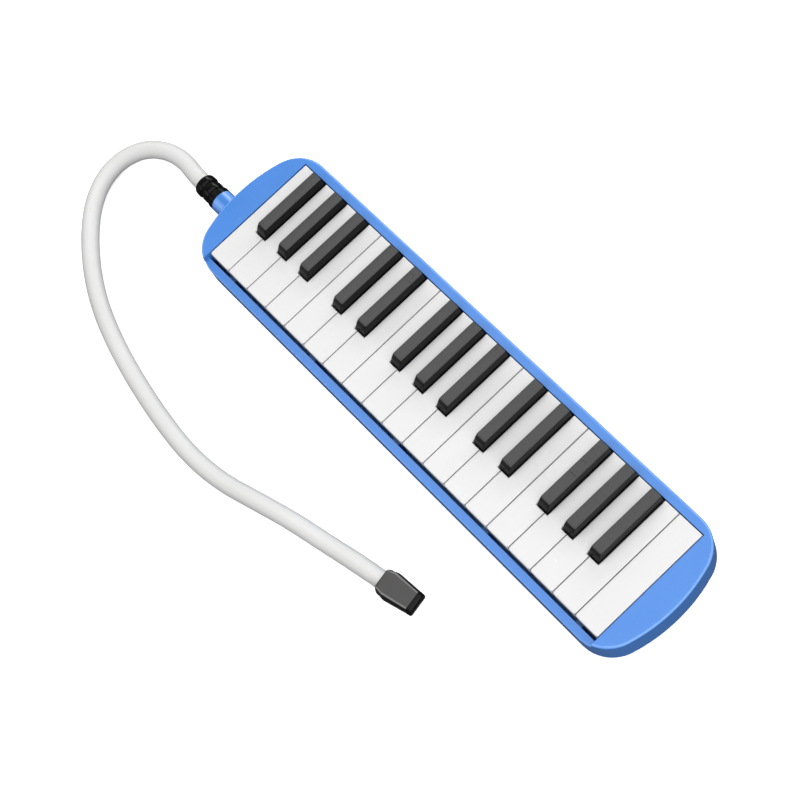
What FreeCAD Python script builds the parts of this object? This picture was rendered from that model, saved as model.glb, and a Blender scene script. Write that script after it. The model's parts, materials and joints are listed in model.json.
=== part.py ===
import FreeCAD, Part
import math
import os

# A 32-key melodica: a blue plastic case, 19 white and 13 black keys on one pivot rod,
# a wind chest with brass reeds inside, and a soft blowing hose with a mouthpiece.
# Millimetres. +X runs from the low notes to the high notes, -Y is the player's side,
# +Z is up. The origin is on the surface that the case lies on, below the middle of the
# case and its neck together.

V = FreeCAD.Vector
CLOSE = 1e-3  # lengths that differ by less than this are the same

# ---------------------------------------------------------------- driving dimensions
# keyboard
OCTAVE_START = 5  # F is the sixth note of an octave that starts on C
KEY_COUNT = 32
WHITE_PITCH = 19.2
KEY_GAP = 0.6  # between neighbouring white keys
BLACK_GAP = 0.5  # between a black key and the white keys beside it
KEY_TOP = 30.0  # height of the white keys over the table
KEY_LENGTH = 85.0
HEAD_LENGTH = 30.45  # wide front part of a white key
HEAD_SKIRT = 9.5  # depth of the skirt round the head
TAIL_SKIRT = 8.0  # depth of the skirt along the tail
KEY_PLATE = 1.8
KEY_WALL = 1.2
KEY_CORNER = 1.5
KEY_EDGE = 0.7
BLACK_WIDTH = 9.0
BLACK_TOP_WIDTH = 7.6
BLACK_HEIGHT = 8.0
BLACK_FRONT_GAP = 0.75  # head of a white key to the front of a black key
BLACK_FACE_HEIGHT = 4.5
BLACK_FACE_LEAN = 1.8
BLACK_SLOPE_RUN = 2.3
BLACK_EDGE = 0.9
SHARP_SHIFT = {"f": -2.5, "g": 0.0, "a": 2.6, "c": -1.9, "d": 1.9}

# case
CASE_WIDTH = 100.0
CASE_WALL = 2.2
CASE_PLATE = 2.0
CASE_EDGE = 1.8
CASE_SHIFT = 7.65  # the case sits this far to the right of the origin, to leave room for the neck
END_CAP = 19.45
END_RADIUS = 112.0
CORNER_RADIUS = 25.0
LOWER_HEIGHT = 9.0
LOWER_TAPER = 3.0
LOWER_EDGE = 1.0
FLOOR = 2.2
RAIL_DROP = 4.5  # the front rail is this much below the key tops
RAIL_EDGE = 0.8
OPENING_SIDE_GAP = 0.4
OPENING_FRONT_GAP = 2.1
OPENING_BACK_GAP = 0.6
KEYBED_FRONT = 7.8  # outer face of the case to the front of the keys
FRAME_WALL = 1.2
FRONT_FRAME_DROP = 8.0
BACK_FRAME_DROP = 8.0
END_FRAME_DROP = 12.0
TONGUE = 1.5
TONGUE_WALL = 1.1
SLIP = 0.15

# screws
SCREW_RADIUS = 1.1
SCREW_HEAD_RADIUS = 2.1
SCREW_HEAD = 1.6
SCREW_CLEARANCE = 0.1
BOSS_RADIUS = 2.8
BOSS_SIDE_INSET = 7.0
BOSS_TOP = 15.4
CASE_SCREWS_PER_SIDE = 5
SIDE_SCREW_FROM_END = 37.5
LEFT_BOSS_FROM_OPENING = 7.8
LEFT_BOSS_SIDE = 35.0
RIGHT_BOSS_FROM_OPENING = 9.7
RIGHT_BOSS_SIDE = 25.0
SCREW_HEAD_RECESS = 0.45
SMALL_SCREW_RADIUS = 0.9
SMALL_HEAD_RADIUS = 1.7
SMALL_HEAD = 1.0
DRIVER_SLOT = 0.5
DRIVER_SLOT_REACH = 0.6  # length of a slot's arm over the radius of its screw head

# wind chest and valve block
CHEST_FRONT_INSET = 47.2  # front face of the keys to the front of the chest
CHEST_WALL = 2.0
CHEST_FLOOR = 1.4
CHEST_BOTTOM = 4.0
CHEST_HEIGHT = 5.5
CHEST_OVERHANG = 4.0  # past the last key, where the drain sits
GASKET = 0.6
VALVE_BLOCK_HEIGHT = 5.9
DECK = 1.6
CELL_WIDTH = 6.8
CELL_MARGIN = 4.6
SLOT_WIDTH = 2.6
SLOT_LENGTH = 6.0
PAD_WIDTH = 6.4
PAD_LENGTH = 10.0
PAD_HEIGHT = 2.0
PAD_ARM_WIDTH = 4.4
PAD_BEHIND_PIVOT = 14.2
PAD_MARGIN = 0.5  # from the pads to the back face of the chest
LUG_REACH = 4.4
LUG_INSET = 6.5

# reeds
REED_PLATE = 1.0
REED_PLATE_INSET = 0.4
REED_THICKNESS = 0.3
REED_LENGTH_LOW = 21.0
REED_LENGTH_HIGH = 9.5
REED_WIDTH_LOW = 3.6
REED_WIDTH_HIGH = 2.4
REED_SIDE_GAP = 0.1
REED_ROOT = 4.0  # the riveted end
REED_FROM_EDGE = 1.5  # from the front edge of the reed plate
RIVET_RADIUS = 0.8
RIVET_HEAD_RADIUS = 1.2
RIVET_HEAD = 0.5

# key action
PIVOT_BEHIND_FRONT = 62.0
PIVOT_BELOW_TOP = 5.5
ROD_RADIUS = 1.25
ROD_SLIP = 0.05
RAIL_HEIGHT = 1.5
RAIL_AHEAD = 11.8
RAIL_BEHIND = 6.2
POST_WIDTH = 2.4
POST_LENGTH = 5.0
POST_OVER_PIVOT = 2.1
SPRING_SHEET = 0.35
SPRING_WIDTH = 3.0
SPRING_STRIP = 5.0
SPRING_REACH = 21.0  # from the pivot to the tip of a finger
SPRING_RIB = 5.2  # depth of the rib that rests on the finger
FELT = 1.5
WHITE_FELT_AT = 6.2  # behind the front of the keys
WHITE_FELT_TOP = 16.6
BLACK_FELT_AT = 34.7
BLACK_FELT_TOP = 19.1
FELT_WIDTH = 3.4
STOP_RIB = 2.6

# inlet
NECK_OUT = 13.1
NECK_RADIUS = 8.2
NECK_BORE = 6.2
NECK_OFF_MIDDLE = 10.9  # in front of the case's middle line
NECK_HEIGHT = 15.0
NECK_FLANGE = 1.4
NECK_FLANGE_LIP = 1.2
NECK_CHAMFER = 0.7
NECK_SETBACK = 0.1  # the flange stands this clear of the curved end wall
SEAL = 0.9
INLET_BOX_WALL = 1.6
INLET_BOX_LENGTH = 10.2
INLET_BOX_MARGIN = 0.4
INLET_DUCT_END = 72.0  # behind the front of the keys
INLET_DUCT_SETBACK = 3.4

# water drain
DRAIN_INSET = 6.0  # from the chest's end to the drain
DRAIN_BEHIND = 65.0
DRAIN_STEP = 2.0
DRAIN_STEP_MARGIN = 1.5  # step beside the button
DRAIN_PLATE_MARGIN = 1.0  # reed plate beside the button
DRAIN_BUTTON_RADIUS = 3.8
DRAIN_BUTTON_GAP = 0.35
DRAIN_BUTTON_BOTTOM = 0.5
DRAIN_BUTTON_HEIGHT = 1.5
DRAIN_STEM_RADIUS = 1.1
DRAIN_HOLE_RADIUS = 1.9
DRAIN_PAD_RADIUS = 3.2
DRAIN_PAD = 1.1
SPRING_WIRE = 0.25
SPRING_COIL_RADIUS = 2.5
SPRING_TURNS = 3.5
SPRING_WIRE_SIDES = 8

# hose, cuff and mouthpiece
HOSE_RADIUS = 6.2
HOSE_WALL = 1.5
CUFF_LENGTH = 18.9
CUFF_COLLAR = 6.0
CUFF_FLANGE = 5.6
CUFF_GROOVE = 0.9
CUFF_COLLAR_RADIUS = 8.3
CUFF_BARREL_RADIUS = 7.55
CUFF_GROOVE_DEPTH = 0.7
CUFF_SOCKET = 5.0
CUFF_BORE = 4.0
SPIGOT_LENGTH = 12.0
SPIGOT_SLIP = 0.05
MOUTH_LENGTH = 26.4
MOUTH_ROOT_WIDTH = 16.5
MOUTH_SHOULDER_WIDTH = 19.5
MOUTH_SHOULDER_AT = 6.0
MOUTH_TIP_WIDTH = 15.5
MOUTH_ROOT_HEIGHT = 13.4
MOUTH_TIP_HEIGHT = 7.6
MOUTH_EDGE = 1.2
MOUTH_SOCKET = 7.0
MOUTH_SLOT_WIDTH = 9.0
MOUTH_SLOT_HEIGHT = 2.4
MOUTH_GROOVE = 0.6
MOUTH_GROOVE_DEPTH = 0.5
HOSE_LIE = 6.35  # height of the hose's middle where it lies on the table
HOSE_STRAIGHT = 4.8  # straight stretch of the hose outside the cuff

# ---------------------------------------------------------------- places that follow
NOTE_NAMES = ["c", "cs", "d", "ds", "e", "f", "fs", "g", "gs", "a", "as", "b"]
NOTE_LIST = [
    (NOTE_NAMES[(OCTAVE_START + i) % 12], 3 + (OCTAVE_START + i) // 12) for i in range(KEY_COUNT)
]
WHITE_COUNT = sum(1 for name, octave in NOTE_LIST if len(name) == 1)

KEYBED_LENGTH = WHITE_COUNT * WHITE_PITCH
OPENING_LENGTH = KEYBED_LENGTH + 2 * OPENING_SIDE_GAP
CASE_LENGTH = OPENING_LENGTH + 2 * END_CAP
CASE_RIGHT = CASE_LENGTH / 2 + CASE_SHIFT
CASE_LEFT = CASE_RIGHT - CASE_LENGTH
CASE_MIDDLE = (CASE_LEFT + CASE_RIGHT) / 2
OPENING_LEFT = CASE_LEFT + END_CAP
OPENING_RIGHT = CASE_RIGHT - END_CAP
KEYS_LEFT = OPENING_LEFT + OPENING_SIDE_GAP
KEYS_RIGHT = KEYS_LEFT + KEYBED_LENGTH
CASE_FRONT = -CASE_WIDTH / 2
KEYS_FRONT = CASE_FRONT + KEYBED_FRONT
KEYS_BACK = KEYS_FRONT + KEY_LENGTH
OPENING_FRONT = KEYS_FRONT - OPENING_FRONT_GAP
OPENING_BACK = KEYS_BACK + OPENING_BACK_GAP
HEAD_BACK = KEYS_FRONT + HEAD_LENGTH
BLACK_FRONT = HEAD_BACK + BLACK_FRONT_GAP
TAIL_BOTTOM = KEY_TOP - TAIL_SKIRT
RAIL_TOP = KEY_TOP - RAIL_DROP
PIVOT_Y = KEYS_FRONT + PIVOT_BEHIND_FRONT
PIVOT_Z = KEY_TOP - PIVOT_BELOW_TOP

CHEST_TOP = CHEST_BOTTOM + CHEST_HEIGHT
BLOCK_BOTTOM = CHEST_TOP + GASKET
DECK_TOP = BLOCK_BOTTOM + VALVE_BLOCK_HEIGHT
PAD_TOP = DECK_TOP + PAD_HEIGHT
CHEST_FRONT = KEYS_FRONT + CHEST_FRONT_INSET
CHEST_LEFT = KEYS_LEFT - CHEST_OVERHANG
CHEST_RIGHT = KEYS_RIGHT + CHEST_OVERHANG
PAD_Y = PIVOT_Y + PAD_BEHIND_PIVOT
CHEST_BACK = PAD_Y + PAD_LENGTH / 2 + PAD_MARGIN
RAIL_DECK = DECK_TOP + RAIL_HEIGHT

NECK_MOUTH = CASE_LEFT - NECK_OUT
NECK_FLANGE_RADIUS = NECK_RADIUS + NECK_FLANGE_LIP
INLET_BOX_HALF = NECK_RADIUS + INLET_BOX_MARGIN
NECK_Y = -NECK_OFF_MIDDLE
DRAIN_X = CHEST_RIGHT - DRAIN_INSET
DRAIN_Y = KEYS_FRONT + DRAIN_BEHIND
CUFF_END = NECK_MOUTH - CUFF_LENGTH


# ---------------------------------------------------------------- plain shapes
def block(x0, x1, y0, y1, z0, z1):
    return Part.makeBox(x1 - x0, y1 - y0, z1 - z0, V(x0, y0, z0))


def post(x, y, z0, z1, radius):
    return Part.makeCylinder(radius, z1 - z0, V(x, y, z0), V(0, 0, 1))


def bar(x0, x1, y, z, radius):
    return Part.makeCylinder(radius, x1 - x0, V(x0, y, z), V(1, 0, 0))


def prism(points, direction):
    """A closed polygon pushed along a direction."""
    corners = [V(*p) for p in points]
    wire = Part.makePolygon(corners + [corners[0]])
    return Part.Face(wire).extrude(V(*direction))


def join(shapes):
    first = shapes[0]
    if len(shapes) == 1:
        return first
    return first.fuse(shapes[1:]).removeSplitter()


def cut(shape, tools):
    return shape.cut(tools).removeSplitter() if tools else shape


def edges_where(shape, test):
    return [e for e in shape.Edges if test(e)]


def lies_at_z(edge, z):
    box = edge.BoundBox
    return abs(box.ZMin - z) < CLOSE and abs(box.ZMax - z) < CLOSE


def spread(first, last, count):
    step = (last - first) / (count - 1)
    return [first + step * i for i in range(count)]


def save(name, shapes):
    os.makedirs("parts", exist_ok=True)
    solids = [s for shape in shapes for s in shape.Solids]
    whole = solids[0] if len(solids) == 1 else Part.makeCompound(solids)
    whole.exportStep("parts/" + name + ".step")


# ---------------------------------------------------------------- the case's outline
def outline(inset, z):
    """Long straight sides, and ends of one large arc with a smaller arc at each corner."""
    big = END_RADIUS - inset
    small = CORNER_RADIUS - inset
    half_width = CASE_WIDTH / 2 - inset
    reach = CASE_LENGTH / 2 - END_RADIUS
    rise = half_width - small
    along = math.sqrt((big - small) ** 2 - rise ** 2)
    angle = math.atan2(rise, along)
    middle = (angle + math.pi / 2) / 2

    def corner_arc(side, top):
        centre_x = reach + along
        start = V(CASE_MIDDLE + side * centre_x, top * half_width, z)
        mid = V(
            CASE_MIDDLE + side * (centre_x + small * math.cos(middle)),
            top * (rise + small * math.sin(middle)),
            z,
        )
        return start, mid, touch(side, top)

    def touch(side, top):
        return V(
            CASE_MIDDLE + side * (reach + big * math.cos(angle)), top * big * math.sin(angle), z
        )

    edges = []
    for side in (1, -1):
        for top in (side, -side):
            edges.append(Part.Arc(*corner_arc(side, top)).toShape())
        tip = V(CASE_MIDDLE + side * (reach + big), 0, z)
        edges.append(Part.Arc(touch(side, 1), tip, touch(side, -1)).toShape())
    for top in (1, -1):
        left = corner_arc(-1, top)[0]
        right = corner_arc(1, top)[0]
        edges.append(Part.LineSegment(left, right).toShape())
    return Part.Wire(Part.__sortEdges__(edges))


def slab(inset, z0, z1):
    return Part.Face(outline(inset, z0)).extrude(V(0, 0, z1 - z0))


def tapered_slab(inset, z0, z1):
    """The lower case's form between two heights, drawn in evenly towards the bottom."""
    def at(z):
        return inset + LOWER_TAPER * (1 - z / LOWER_HEIGHT)

    return Part.makeLoft([outline(at(z0), z0), outline(at(z1), z1)], True, True)


def side_screw_row():
    first = CASE_LEFT + SIDE_SCREW_FROM_END
    last = CASE_RIGHT - SIDE_SCREW_FROM_END
    return spread(first, last, CASE_SCREWS_PER_SIDE)


def case_screw_places():
    """Screws along both long sides, and two at each end."""
    side_y = CASE_WIDTH / 2 - BOSS_SIDE_INSET
    places = [(x, side * side_y) for x in side_screw_row() for side in (-1, 1)]
    left = OPENING_LEFT - LEFT_BOSS_FROM_OPENING
    right = OPENING_RIGHT + RIGHT_BOSS_FROM_OPENING
    for side in (-1, 1):
        places += [(left, side * LEFT_BOSS_SIDE), (right, side * RIGHT_BOSS_SIDE)]
    return places


def is_side_screw(place):
    return abs(abs(place[1]) - (CASE_WIDTH / 2 - BOSS_SIDE_INSET)) < CLOSE


def upper_case():
    shell = slab(0, LOWER_HEIGHT, KEY_TOP)
    shell = shell.makeFillet(CASE_EDGE, edges_where(shell, lambda e: lies_at_z(e, KEY_TOP)))
    hollow = slab(CASE_WALL, LOWER_HEIGHT, KEY_TOP - CASE_PLATE)
    rail_hollow = block(CASE_LEFT, CASE_RIGHT, CASE_FRONT, KEYS_FRONT, RAIL_TOP - CASE_PLATE, KEY_TOP)
    rail_part = block(OPENING_LEFT, OPENING_RIGHT, CASE_FRONT, KEYS_FRONT, RAIL_TOP, KEY_TOP)
    rail_skin = rail_hollow.common(
        block(OPENING_LEFT, OPENING_RIGHT, CASE_FRONT, KEYS_FRONT, RAIL_TOP - CASE_PLATE, KEY_TOP)
    )
    shell = cut(shell, [hollow.cut(rail_skin), rail_part])
    frame = join([
        block(OPENING_LEFT - FRAME_WALL, OPENING_RIGHT + FRAME_WALL, OPENING_FRONT - FRAME_WALL,
              OPENING_FRONT, RAIL_TOP - FRONT_FRAME_DROP, RAIL_TOP),
        block(OPENING_LEFT - FRAME_WALL, OPENING_RIGHT + FRAME_WALL, OPENING_BACK,
              OPENING_BACK + FRAME_WALL, KEY_TOP - BACK_FRAME_DROP, KEY_TOP - CASE_PLATE),
    ])
    ends = [
        block(x, x + FRAME_WALL, OPENING_FRONT - FRAME_WALL, OPENING_BACK + FRAME_WALL,
              KEY_TOP - END_FRAME_DROP, KEY_TOP - CASE_PLATE)
        for x in (OPENING_LEFT - FRAME_WALL, OPENING_RIGHT)
    ]
    step_walls = [
        block(x, x + FRAME_WALL, CASE_FRONT, OPENING_FRONT, RAIL_TOP - CASE_PLATE, KEY_TOP - CASE_EDGE)
        for x in (OPENING_LEFT - FRAME_WALL, OPENING_RIGHT)
    ]
    step_walls = [w.common(slab(CASE_WALL / 2, LOWER_HEIGHT, KEY_TOP)) for w in step_walls]
    shell = join([shell, frame] + ends + step_walls)
    opening = block(OPENING_LEFT, OPENING_RIGHT, OPENING_FRONT, OPENING_BACK, LOWER_HEIGHT, KEY_TOP + 1)
    shell = cut(shell, [opening])

    def on_rail(edge):
        box = edge.BoundBox
        return lies_at_z(edge, RAIL_TOP) and box.YLength < CLOSE and box.XLength > KEYBED_LENGTH / 2

    shell = shell.makeFillet(RAIL_EDGE, edges_where(shell, on_rail))
    bosses = []
    holes = []
    inside = slab(CASE_WALL / 2, LOWER_HEIGHT, KEY_TOP - CASE_PLATE / 2)
    for place in case_screw_places():
        x, y = place
        top = BOSS_TOP if is_side_screw(place) else KEY_TOP - CASE_PLATE / 2
        bosses.append(post(x, y, LOWER_HEIGHT, top, BOSS_RADIUS))
        if is_side_screw(place):
            outer = math.copysign(CASE_WIDTH / 2 - CASE_WALL / 2, y)
            low, high = sorted((y, outer))
            bosses.append(block(x - FRAME_WALL, x + FRAME_WALL, low, high, LOWER_HEIGHT, top))
        holes.append(post(x, y, LOWER_HEIGHT, BOSS_TOP - FRAME_WALL, SCREW_RADIUS))
    bosses = [b.common(inside) for b in bosses]
    neck_hole = bar(CASE_LEFT - CASE_WALL, CASE_LEFT + 2 * CASE_WALL, NECK_Y, NECK_HEIGHT, NECK_RADIUS)
    return cut(join([shell] + bosses), holes + [neck_hole])


def lower_case():
    shell = tapered_slab(0, 0, LOWER_HEIGHT)
    shell = shell.makeFillet(LOWER_EDGE, edges_where(shell, lambda e: lies_at_z(e, 0)))
    shell = cut(shell, [tapered_slab(CASE_WALL, FLOOR, LOWER_HEIGHT)])
    tongue = slab(CASE_WALL + SLIP, LOWER_HEIGHT - TONGUE, LOWER_HEIGHT + TONGUE)
    tongue = cut(tongue, [slab(CASE_WALL + SLIP + TONGUE_WALL, 0, KEY_TOP)])
    tongue_cuts = []
    for place in case_screw_places():
        x, y = place
        tongue_cuts.append(post(x, y, LOWER_HEIGHT, KEY_TOP, BOSS_RADIUS + 2 * SLIP))
        if is_side_screw(place):
            outer = math.copysign(CASE_WIDTH / 2, y)
            low, high = sorted((y, outer))
            reach = FRAME_WALL + 2 * SLIP
            tongue_cuts.append(block(x - reach, x + reach, low, high, LOWER_HEIGHT, KEY_TOP))
    tongue = cut(tongue, tongue_cuts)
    pieces = [shell, tongue]
    inside = tapered_slab(CASE_WALL / 2, FLOOR / 2, LOWER_HEIGHT)
    for x, y in case_screw_places():
        pieces.append(post(x, y, FLOOR / 2, LOWER_HEIGHT, BOSS_RADIUS).common(inside))
    for at, top in ((WHITE_FELT_AT, WHITE_FELT_TOP), (BLACK_FELT_AT, BLACK_FELT_TOP)):
        y = KEYS_FRONT + at
        half = STOP_RIB / 2
        pieces.append(block(KEYS_LEFT, KEYS_RIGHT, y - half, y + half, FLOOR / 2, top - FELT))
    for x, y in lug_places():
        pieces.append(post(x, y, FLOOR / 2, CHEST_BOTTOM, BOSS_RADIUS).common(inside))
    holes = []
    for x, y in case_screw_places():
        holes.append(post(x, y, 0, LOWER_HEIGHT, SCREW_RADIUS + SCREW_CLEARANCE))
        holes.append(post(x, y, -1, SCREW_HEAD + SCREW_CLEARANCE, SCREW_HEAD_RADIUS + SCREW_CLEARANCE))
    for x, y in lug_places():
        holes.append(post(x, y, FLOOR / 2, CHEST_BOTTOM, SMALL_SCREW_RADIUS))
    holes.append(post(DRAIN_X, DRAIN_Y, -1, FLOOR + 1, DRAIN_BUTTON_RADIUS + DRAIN_BUTTON_GAP))
    flange_left = seal_face() - SEAL - NECK_FLANGE
    neck_hole = join([
        bar(CASE_LEFT - CASE_WALL, CASE_LEFT + 2 * CASE_WALL, NECK_Y, NECK_HEIGHT, NECK_RADIUS),
        bar(flange_left - SLIP, seal_face(), NECK_Y, NECK_HEIGHT, NECK_FLANGE_RADIUS + SLIP),
    ])
    return cut(cut(join(pieces), holes), [neck_hole])


def case_screws():
    screws = []
    for x, y in case_screw_places():
        shank = post(x, y, SCREW_HEAD, BOSS_TOP - 2 * FRAME_WALL, SCREW_RADIUS)
        head = post(x, y, SCREW_HEAD_RECESS, SCREW_HEAD, SCREW_HEAD_RADIUS)
        screws.append(cross_head(join([shank, head]), x, y, SCREW_HEAD_RECESS, SCREW_HEAD_RADIUS))
    return screws


def cross_head(screw, x, y, z, radius):
    """Two crossed driver slots in a head whose face is at z."""
    arm = radius * DRIVER_SLOT_REACH
    width = DRIVER_SLOT / 2
    return cut(screw, [
        block(x - arm, x + arm, y - width, y + width, z - DRIVER_SLOT, z + DRIVER_SLOT),
        block(x - width, x + width, y - arm, y + arm, z - DRIVER_SLOT, z + DRIVER_SLOT),
    ])


def small_screw(x, y, seat, tip, up):
    """A small screw whose head stands on the seat, pointing down (up=-1) or up (up=1)."""
    head_far = seat - up * SMALL_HEAD
    low, high = sorted((seat, tip))
    head_low, head_high = sorted((seat, head_far))
    shank = post(x, y, low, high, SMALL_SCREW_RADIUS)
    head = post(x, y, head_low, head_high, SMALL_HEAD_RADIUS)
    return cross_head(join([shank, head]), x, y, head_far, SMALL_HEAD_RADIUS)


# ---------------------------------------------------------------- keys
def key_layout():
    """Each key's name, kind, left and right edges of its tail, and its head's edges."""
    blacks = {}
    index = -1
    for name, octave in NOTE_LIST:
        if len(name) == 1:
            index += 1
        else:
            centre = KEYS_LEFT + (index + 1) * WHITE_PITCH + SHARP_SHIFT[name[0]]
            blacks[index] = centre
    keys = []
    index = -1
    for name, octave in NOTE_LIST:
        if len(name) == 1:
            index += 1
            head_left = KEYS_LEFT + index * WHITE_PITCH + KEY_GAP / 2
            head_right = KEYS_LEFT + (index + 1) * WHITE_PITCH - KEY_GAP / 2
            left, right = head_left, head_right
            if index - 1 in blacks:
                left = blacks[index - 1] + BLACK_WIDTH / 2 + BLACK_GAP
            if index in blacks:
                right = blacks[index] - BLACK_WIDTH / 2 - BLACK_GAP
            keys.append(("key_%s%d" % (name, octave), "white", left, right, head_left, head_right))
        else:
            left = blacks[index] - BLACK_WIDTH / 2
            right = blacks[index] + BLACK_WIDTH / 2
            keys.append(("key_%s%d" % (name, octave), "black", left, right, left, right))
    return keys


def key_plan(left, right, head_left, head_right, grow):
    """Corners of a white key seen from above: a wide head, and a tail between black keys."""
    front = KEYS_FRONT - grow
    back = KEYS_BACK + grow
    neck = HEAD_BACK + grow
    points = [(head_left - grow, front), (head_right + grow, front)]
    if right < head_right:
        points += [(head_right + grow, neck), (right + grow, neck)]
    points += [(right + grow, back), (left - grow, back)]
    if left > head_left:
        points += [(left - grow, neck), (head_left - grow, neck)]
    return points


def white_key(left, right, head_left, head_right):
    deep = KEY_TOP - HEAD_SKIRT
    plan = key_plan(left, right, head_left, head_right, 0)
    body = prism([(x, y, deep) for x, y in plan], (0, 0, HEAD_SKIRT))

    def front_corner(edge):
        box = edge.BoundBox
        return box.ZLength > HEAD_SKIRT / 2 and box.YMax < KEYS_FRONT + CLOSE

    body = body.makeFillet(KEY_CORNER, edges_where(body, front_corner))
    body = body.makeFillet(KEY_EDGE, edges_where(body, lambda e: lies_at_z(e, KEY_TOP)))
    inner = key_plan(left, right, head_left, head_right, -KEY_WALL)
    hollow = prism([(x, y, deep) for x, y in inner], (0, 0, HEAD_SKIRT - KEY_PLATE))
    wide = WHITE_PITCH
    above_tail = block(left - wide, right + wide, HEAD_BACK, KEYS_BACK + 1, deep - 1, TAIL_BOTTOM)
    return cut(body, [hollow, above_tail])


def black_profile(grow):
    """Corners of a black key seen from the side, its front face leaning back in two steps."""
    front = BLACK_FRONT - grow
    back = KEYS_BACK + grow
    top = KEY_TOP + BLACK_HEIGHT + grow
    face = KEY_TOP + BLACK_FACE_HEIGHT + grow / 2
    lean = BLACK_FACE_LEAN
    return [(front, TAIL_BOTTOM), (front, KEY_TOP), (front + lean, face),
            (front + lean + BLACK_SLOPE_RUN, top), (back, top), (back, TAIL_BOTTOM)]


def black_form(left, right, grow):
    centre = (left + right) / 2
    base = (right - left) / 2 + grow
    crown = BLACK_TOP_WIDTH / 2 + grow
    top = KEY_TOP + BLACK_HEIGHT + grow
    side = prism([(left - 1, y, z) for y, z in black_profile(grow)], (right - left + 2, 0, 0))
    section = [(centre - base, TAIL_BOTTOM), (centre + base, TAIL_BOTTOM), (centre + base, KEY_TOP),
               (centre + crown, top), (centre - crown, top), (centre - base, KEY_TOP)]
    length = KEYS_BACK - BLACK_FRONT + 2
    end = prism([(x, BLACK_FRONT - 1, z) for x, z in section], (0, length, 0))
    return side.common(end).removeSplitter()


def black_key(left, right):
    body = black_form(left, right, 0)

    def upper(edge):
        box = edge.BoundBox
        above = box.ZMax > KEY_TOP + BLACK_FACE_HEIGHT - CLOSE and box.ZMin > KEY_TOP - CLOSE
        return above and box.YMax < KEYS_BACK + 1 and box.YMin < KEYS_BACK - CLOSE

    body = body.makeFillet(BLACK_EDGE, edges_where(body, upper))
    return cut(body, [black_form(left, right, -KEY_WALL)])


def finish_key(body, kind, left, right):
    """The pivot holes, the rib on the spring finger and the arm that carries the pad."""
    centre = (left + right) / 2
    crown = KEY_TOP + (BLACK_HEIGHT if kind == "black" else 0)
    underside = crown - KEY_PLATE / 2 if kind == "white" else crown - KEY_WALL / 2
    spring_y = PIVOT_Y - SPRING_REACH
    rib = block(centre - SPRING_WIDTH / 2, centre + SPRING_WIDTH / 2, spring_y, spring_y + KEY_PLATE,
                KEY_TOP - KEY_PLATE - SPRING_RIB, underside)
    arm = block(centre - PAD_ARM_WIDTH / 2, centre + PAD_ARM_WIDTH / 2, PAD_Y - SLOT_LENGTH / 2,
                PAD_Y + SLOT_LENGTH / 2, PAD_TOP, underside)
    holes = [bar(left - 1, right + 1, PIVOT_Y, PIVOT_Z, ROD_RADIUS + ROD_SLIP)]
    pad = block(centre - PAD_WIDTH / 2, centre + PAD_WIDTH / 2, PAD_Y - PAD_LENGTH / 2,
                PAD_Y + PAD_LENGTH / 2, DECK_TOP, PAD_TOP)
    return [cut(join([body, rib, arm]), holes), pad]


def all_keys():
    for name, kind, left, right, head_left, head_right in key_layout():
        if kind == "white":
            body = white_key(left, right, head_left, head_right)
        else:
            body = black_key(left, right)
        save(name, finish_key(body, kind, left, right))


def key_centres():
    return [(left + right) / 2 for name, kind, left, right, head_left, head_right in key_layout()]


def between_keys(every):
    """Places half way between the tails of neighbouring keys, a few along the keyboard."""
    centres = key_centres()
    return [(centres[i] + centres[i + 1]) / 2 for i in every]


# ---------------------------------------------------------------- key action
SCREWED_GAPS = [1, 6, 11, 16, 21, 26, 30]


def pivot_rod():
    return bar(KEYS_LEFT, KEYS_RIGHT, PIVOT_Y, PIVOT_Z, ROD_RADIUS)


def rail_screw_y():
    return PIVOT_Y + (RAIL_BEHIND + POST_LENGTH / 2) / 2


def comb_screw_y():
    return PIVOT_Y - RAIL_AHEAD + SPRING_STRIP / 2


def bearing_rail():
    pieces = [
        block(KEYS_LEFT, KEYS_RIGHT, PIVOT_Y - RAIL_AHEAD, PIVOT_Y + RAIL_BEHIND, DECK_TOP, RAIL_DECK)
    ]
    for x in key_centres():
        pieces.append(block(x - POST_WIDTH / 2, x + POST_WIDTH / 2, PIVOT_Y - POST_LENGTH / 2,
                            PIVOT_Y + POST_LENGTH / 2, DECK_TOP, PIVOT_Z + POST_OVER_PIVOT))
    holes = [bar(KEYS_LEFT - 1, KEYS_RIGHT + 1, PIVOT_Y, PIVOT_Z, ROD_RADIUS + ROD_SLIP)]
    for x in between_keys(SCREWED_GAPS):
        holes.append(post(x, rail_screw_y(), DECK_TOP, RAIL_DECK, SMALL_SCREW_RADIUS))
        holes.append(post(x, comb_screw_y(), DECK_TOP, RAIL_DECK, SMALL_SCREW_RADIUS))
    return cut(join(pieces), holes)


def spring_comb():
    """A strip of spring sheet with one rising finger under each key."""
    strip_front = PIVOT_Y - RAIL_AHEAD
    top = RAIL_DECK + SPRING_SHEET
    tip_y = PIVOT_Y - SPRING_REACH
    tip_z = KEY_TOP - KEY_PLATE - SPRING_RIB
    pieces = [block(KEYS_LEFT, KEYS_RIGHT, strip_front, strip_front + SPRING_STRIP, RAIL_DECK, top)]
    side = [(strip_front + SPRING_SHEET, RAIL_DECK), (strip_front + SPRING_SHEET, top),
            (tip_y + KEY_PLATE, tip_z), (tip_y, tip_z), (tip_y, tip_z - SPRING_SHEET),
            (tip_y + KEY_PLATE, tip_z - SPRING_SHEET), (strip_front, RAIL_DECK)]
    for x in key_centres():
        pieces.append(prism([(x - SPRING_WIDTH / 2, y, z) for y, z in side], (SPRING_WIDTH, 0, 0)))
    holes = [
        post(x, comb_screw_y(), RAIL_DECK, top, SMALL_SCREW_RADIUS) for x in between_keys(SCREWED_GAPS)
    ]
    return cut(join(pieces), holes)


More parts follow.
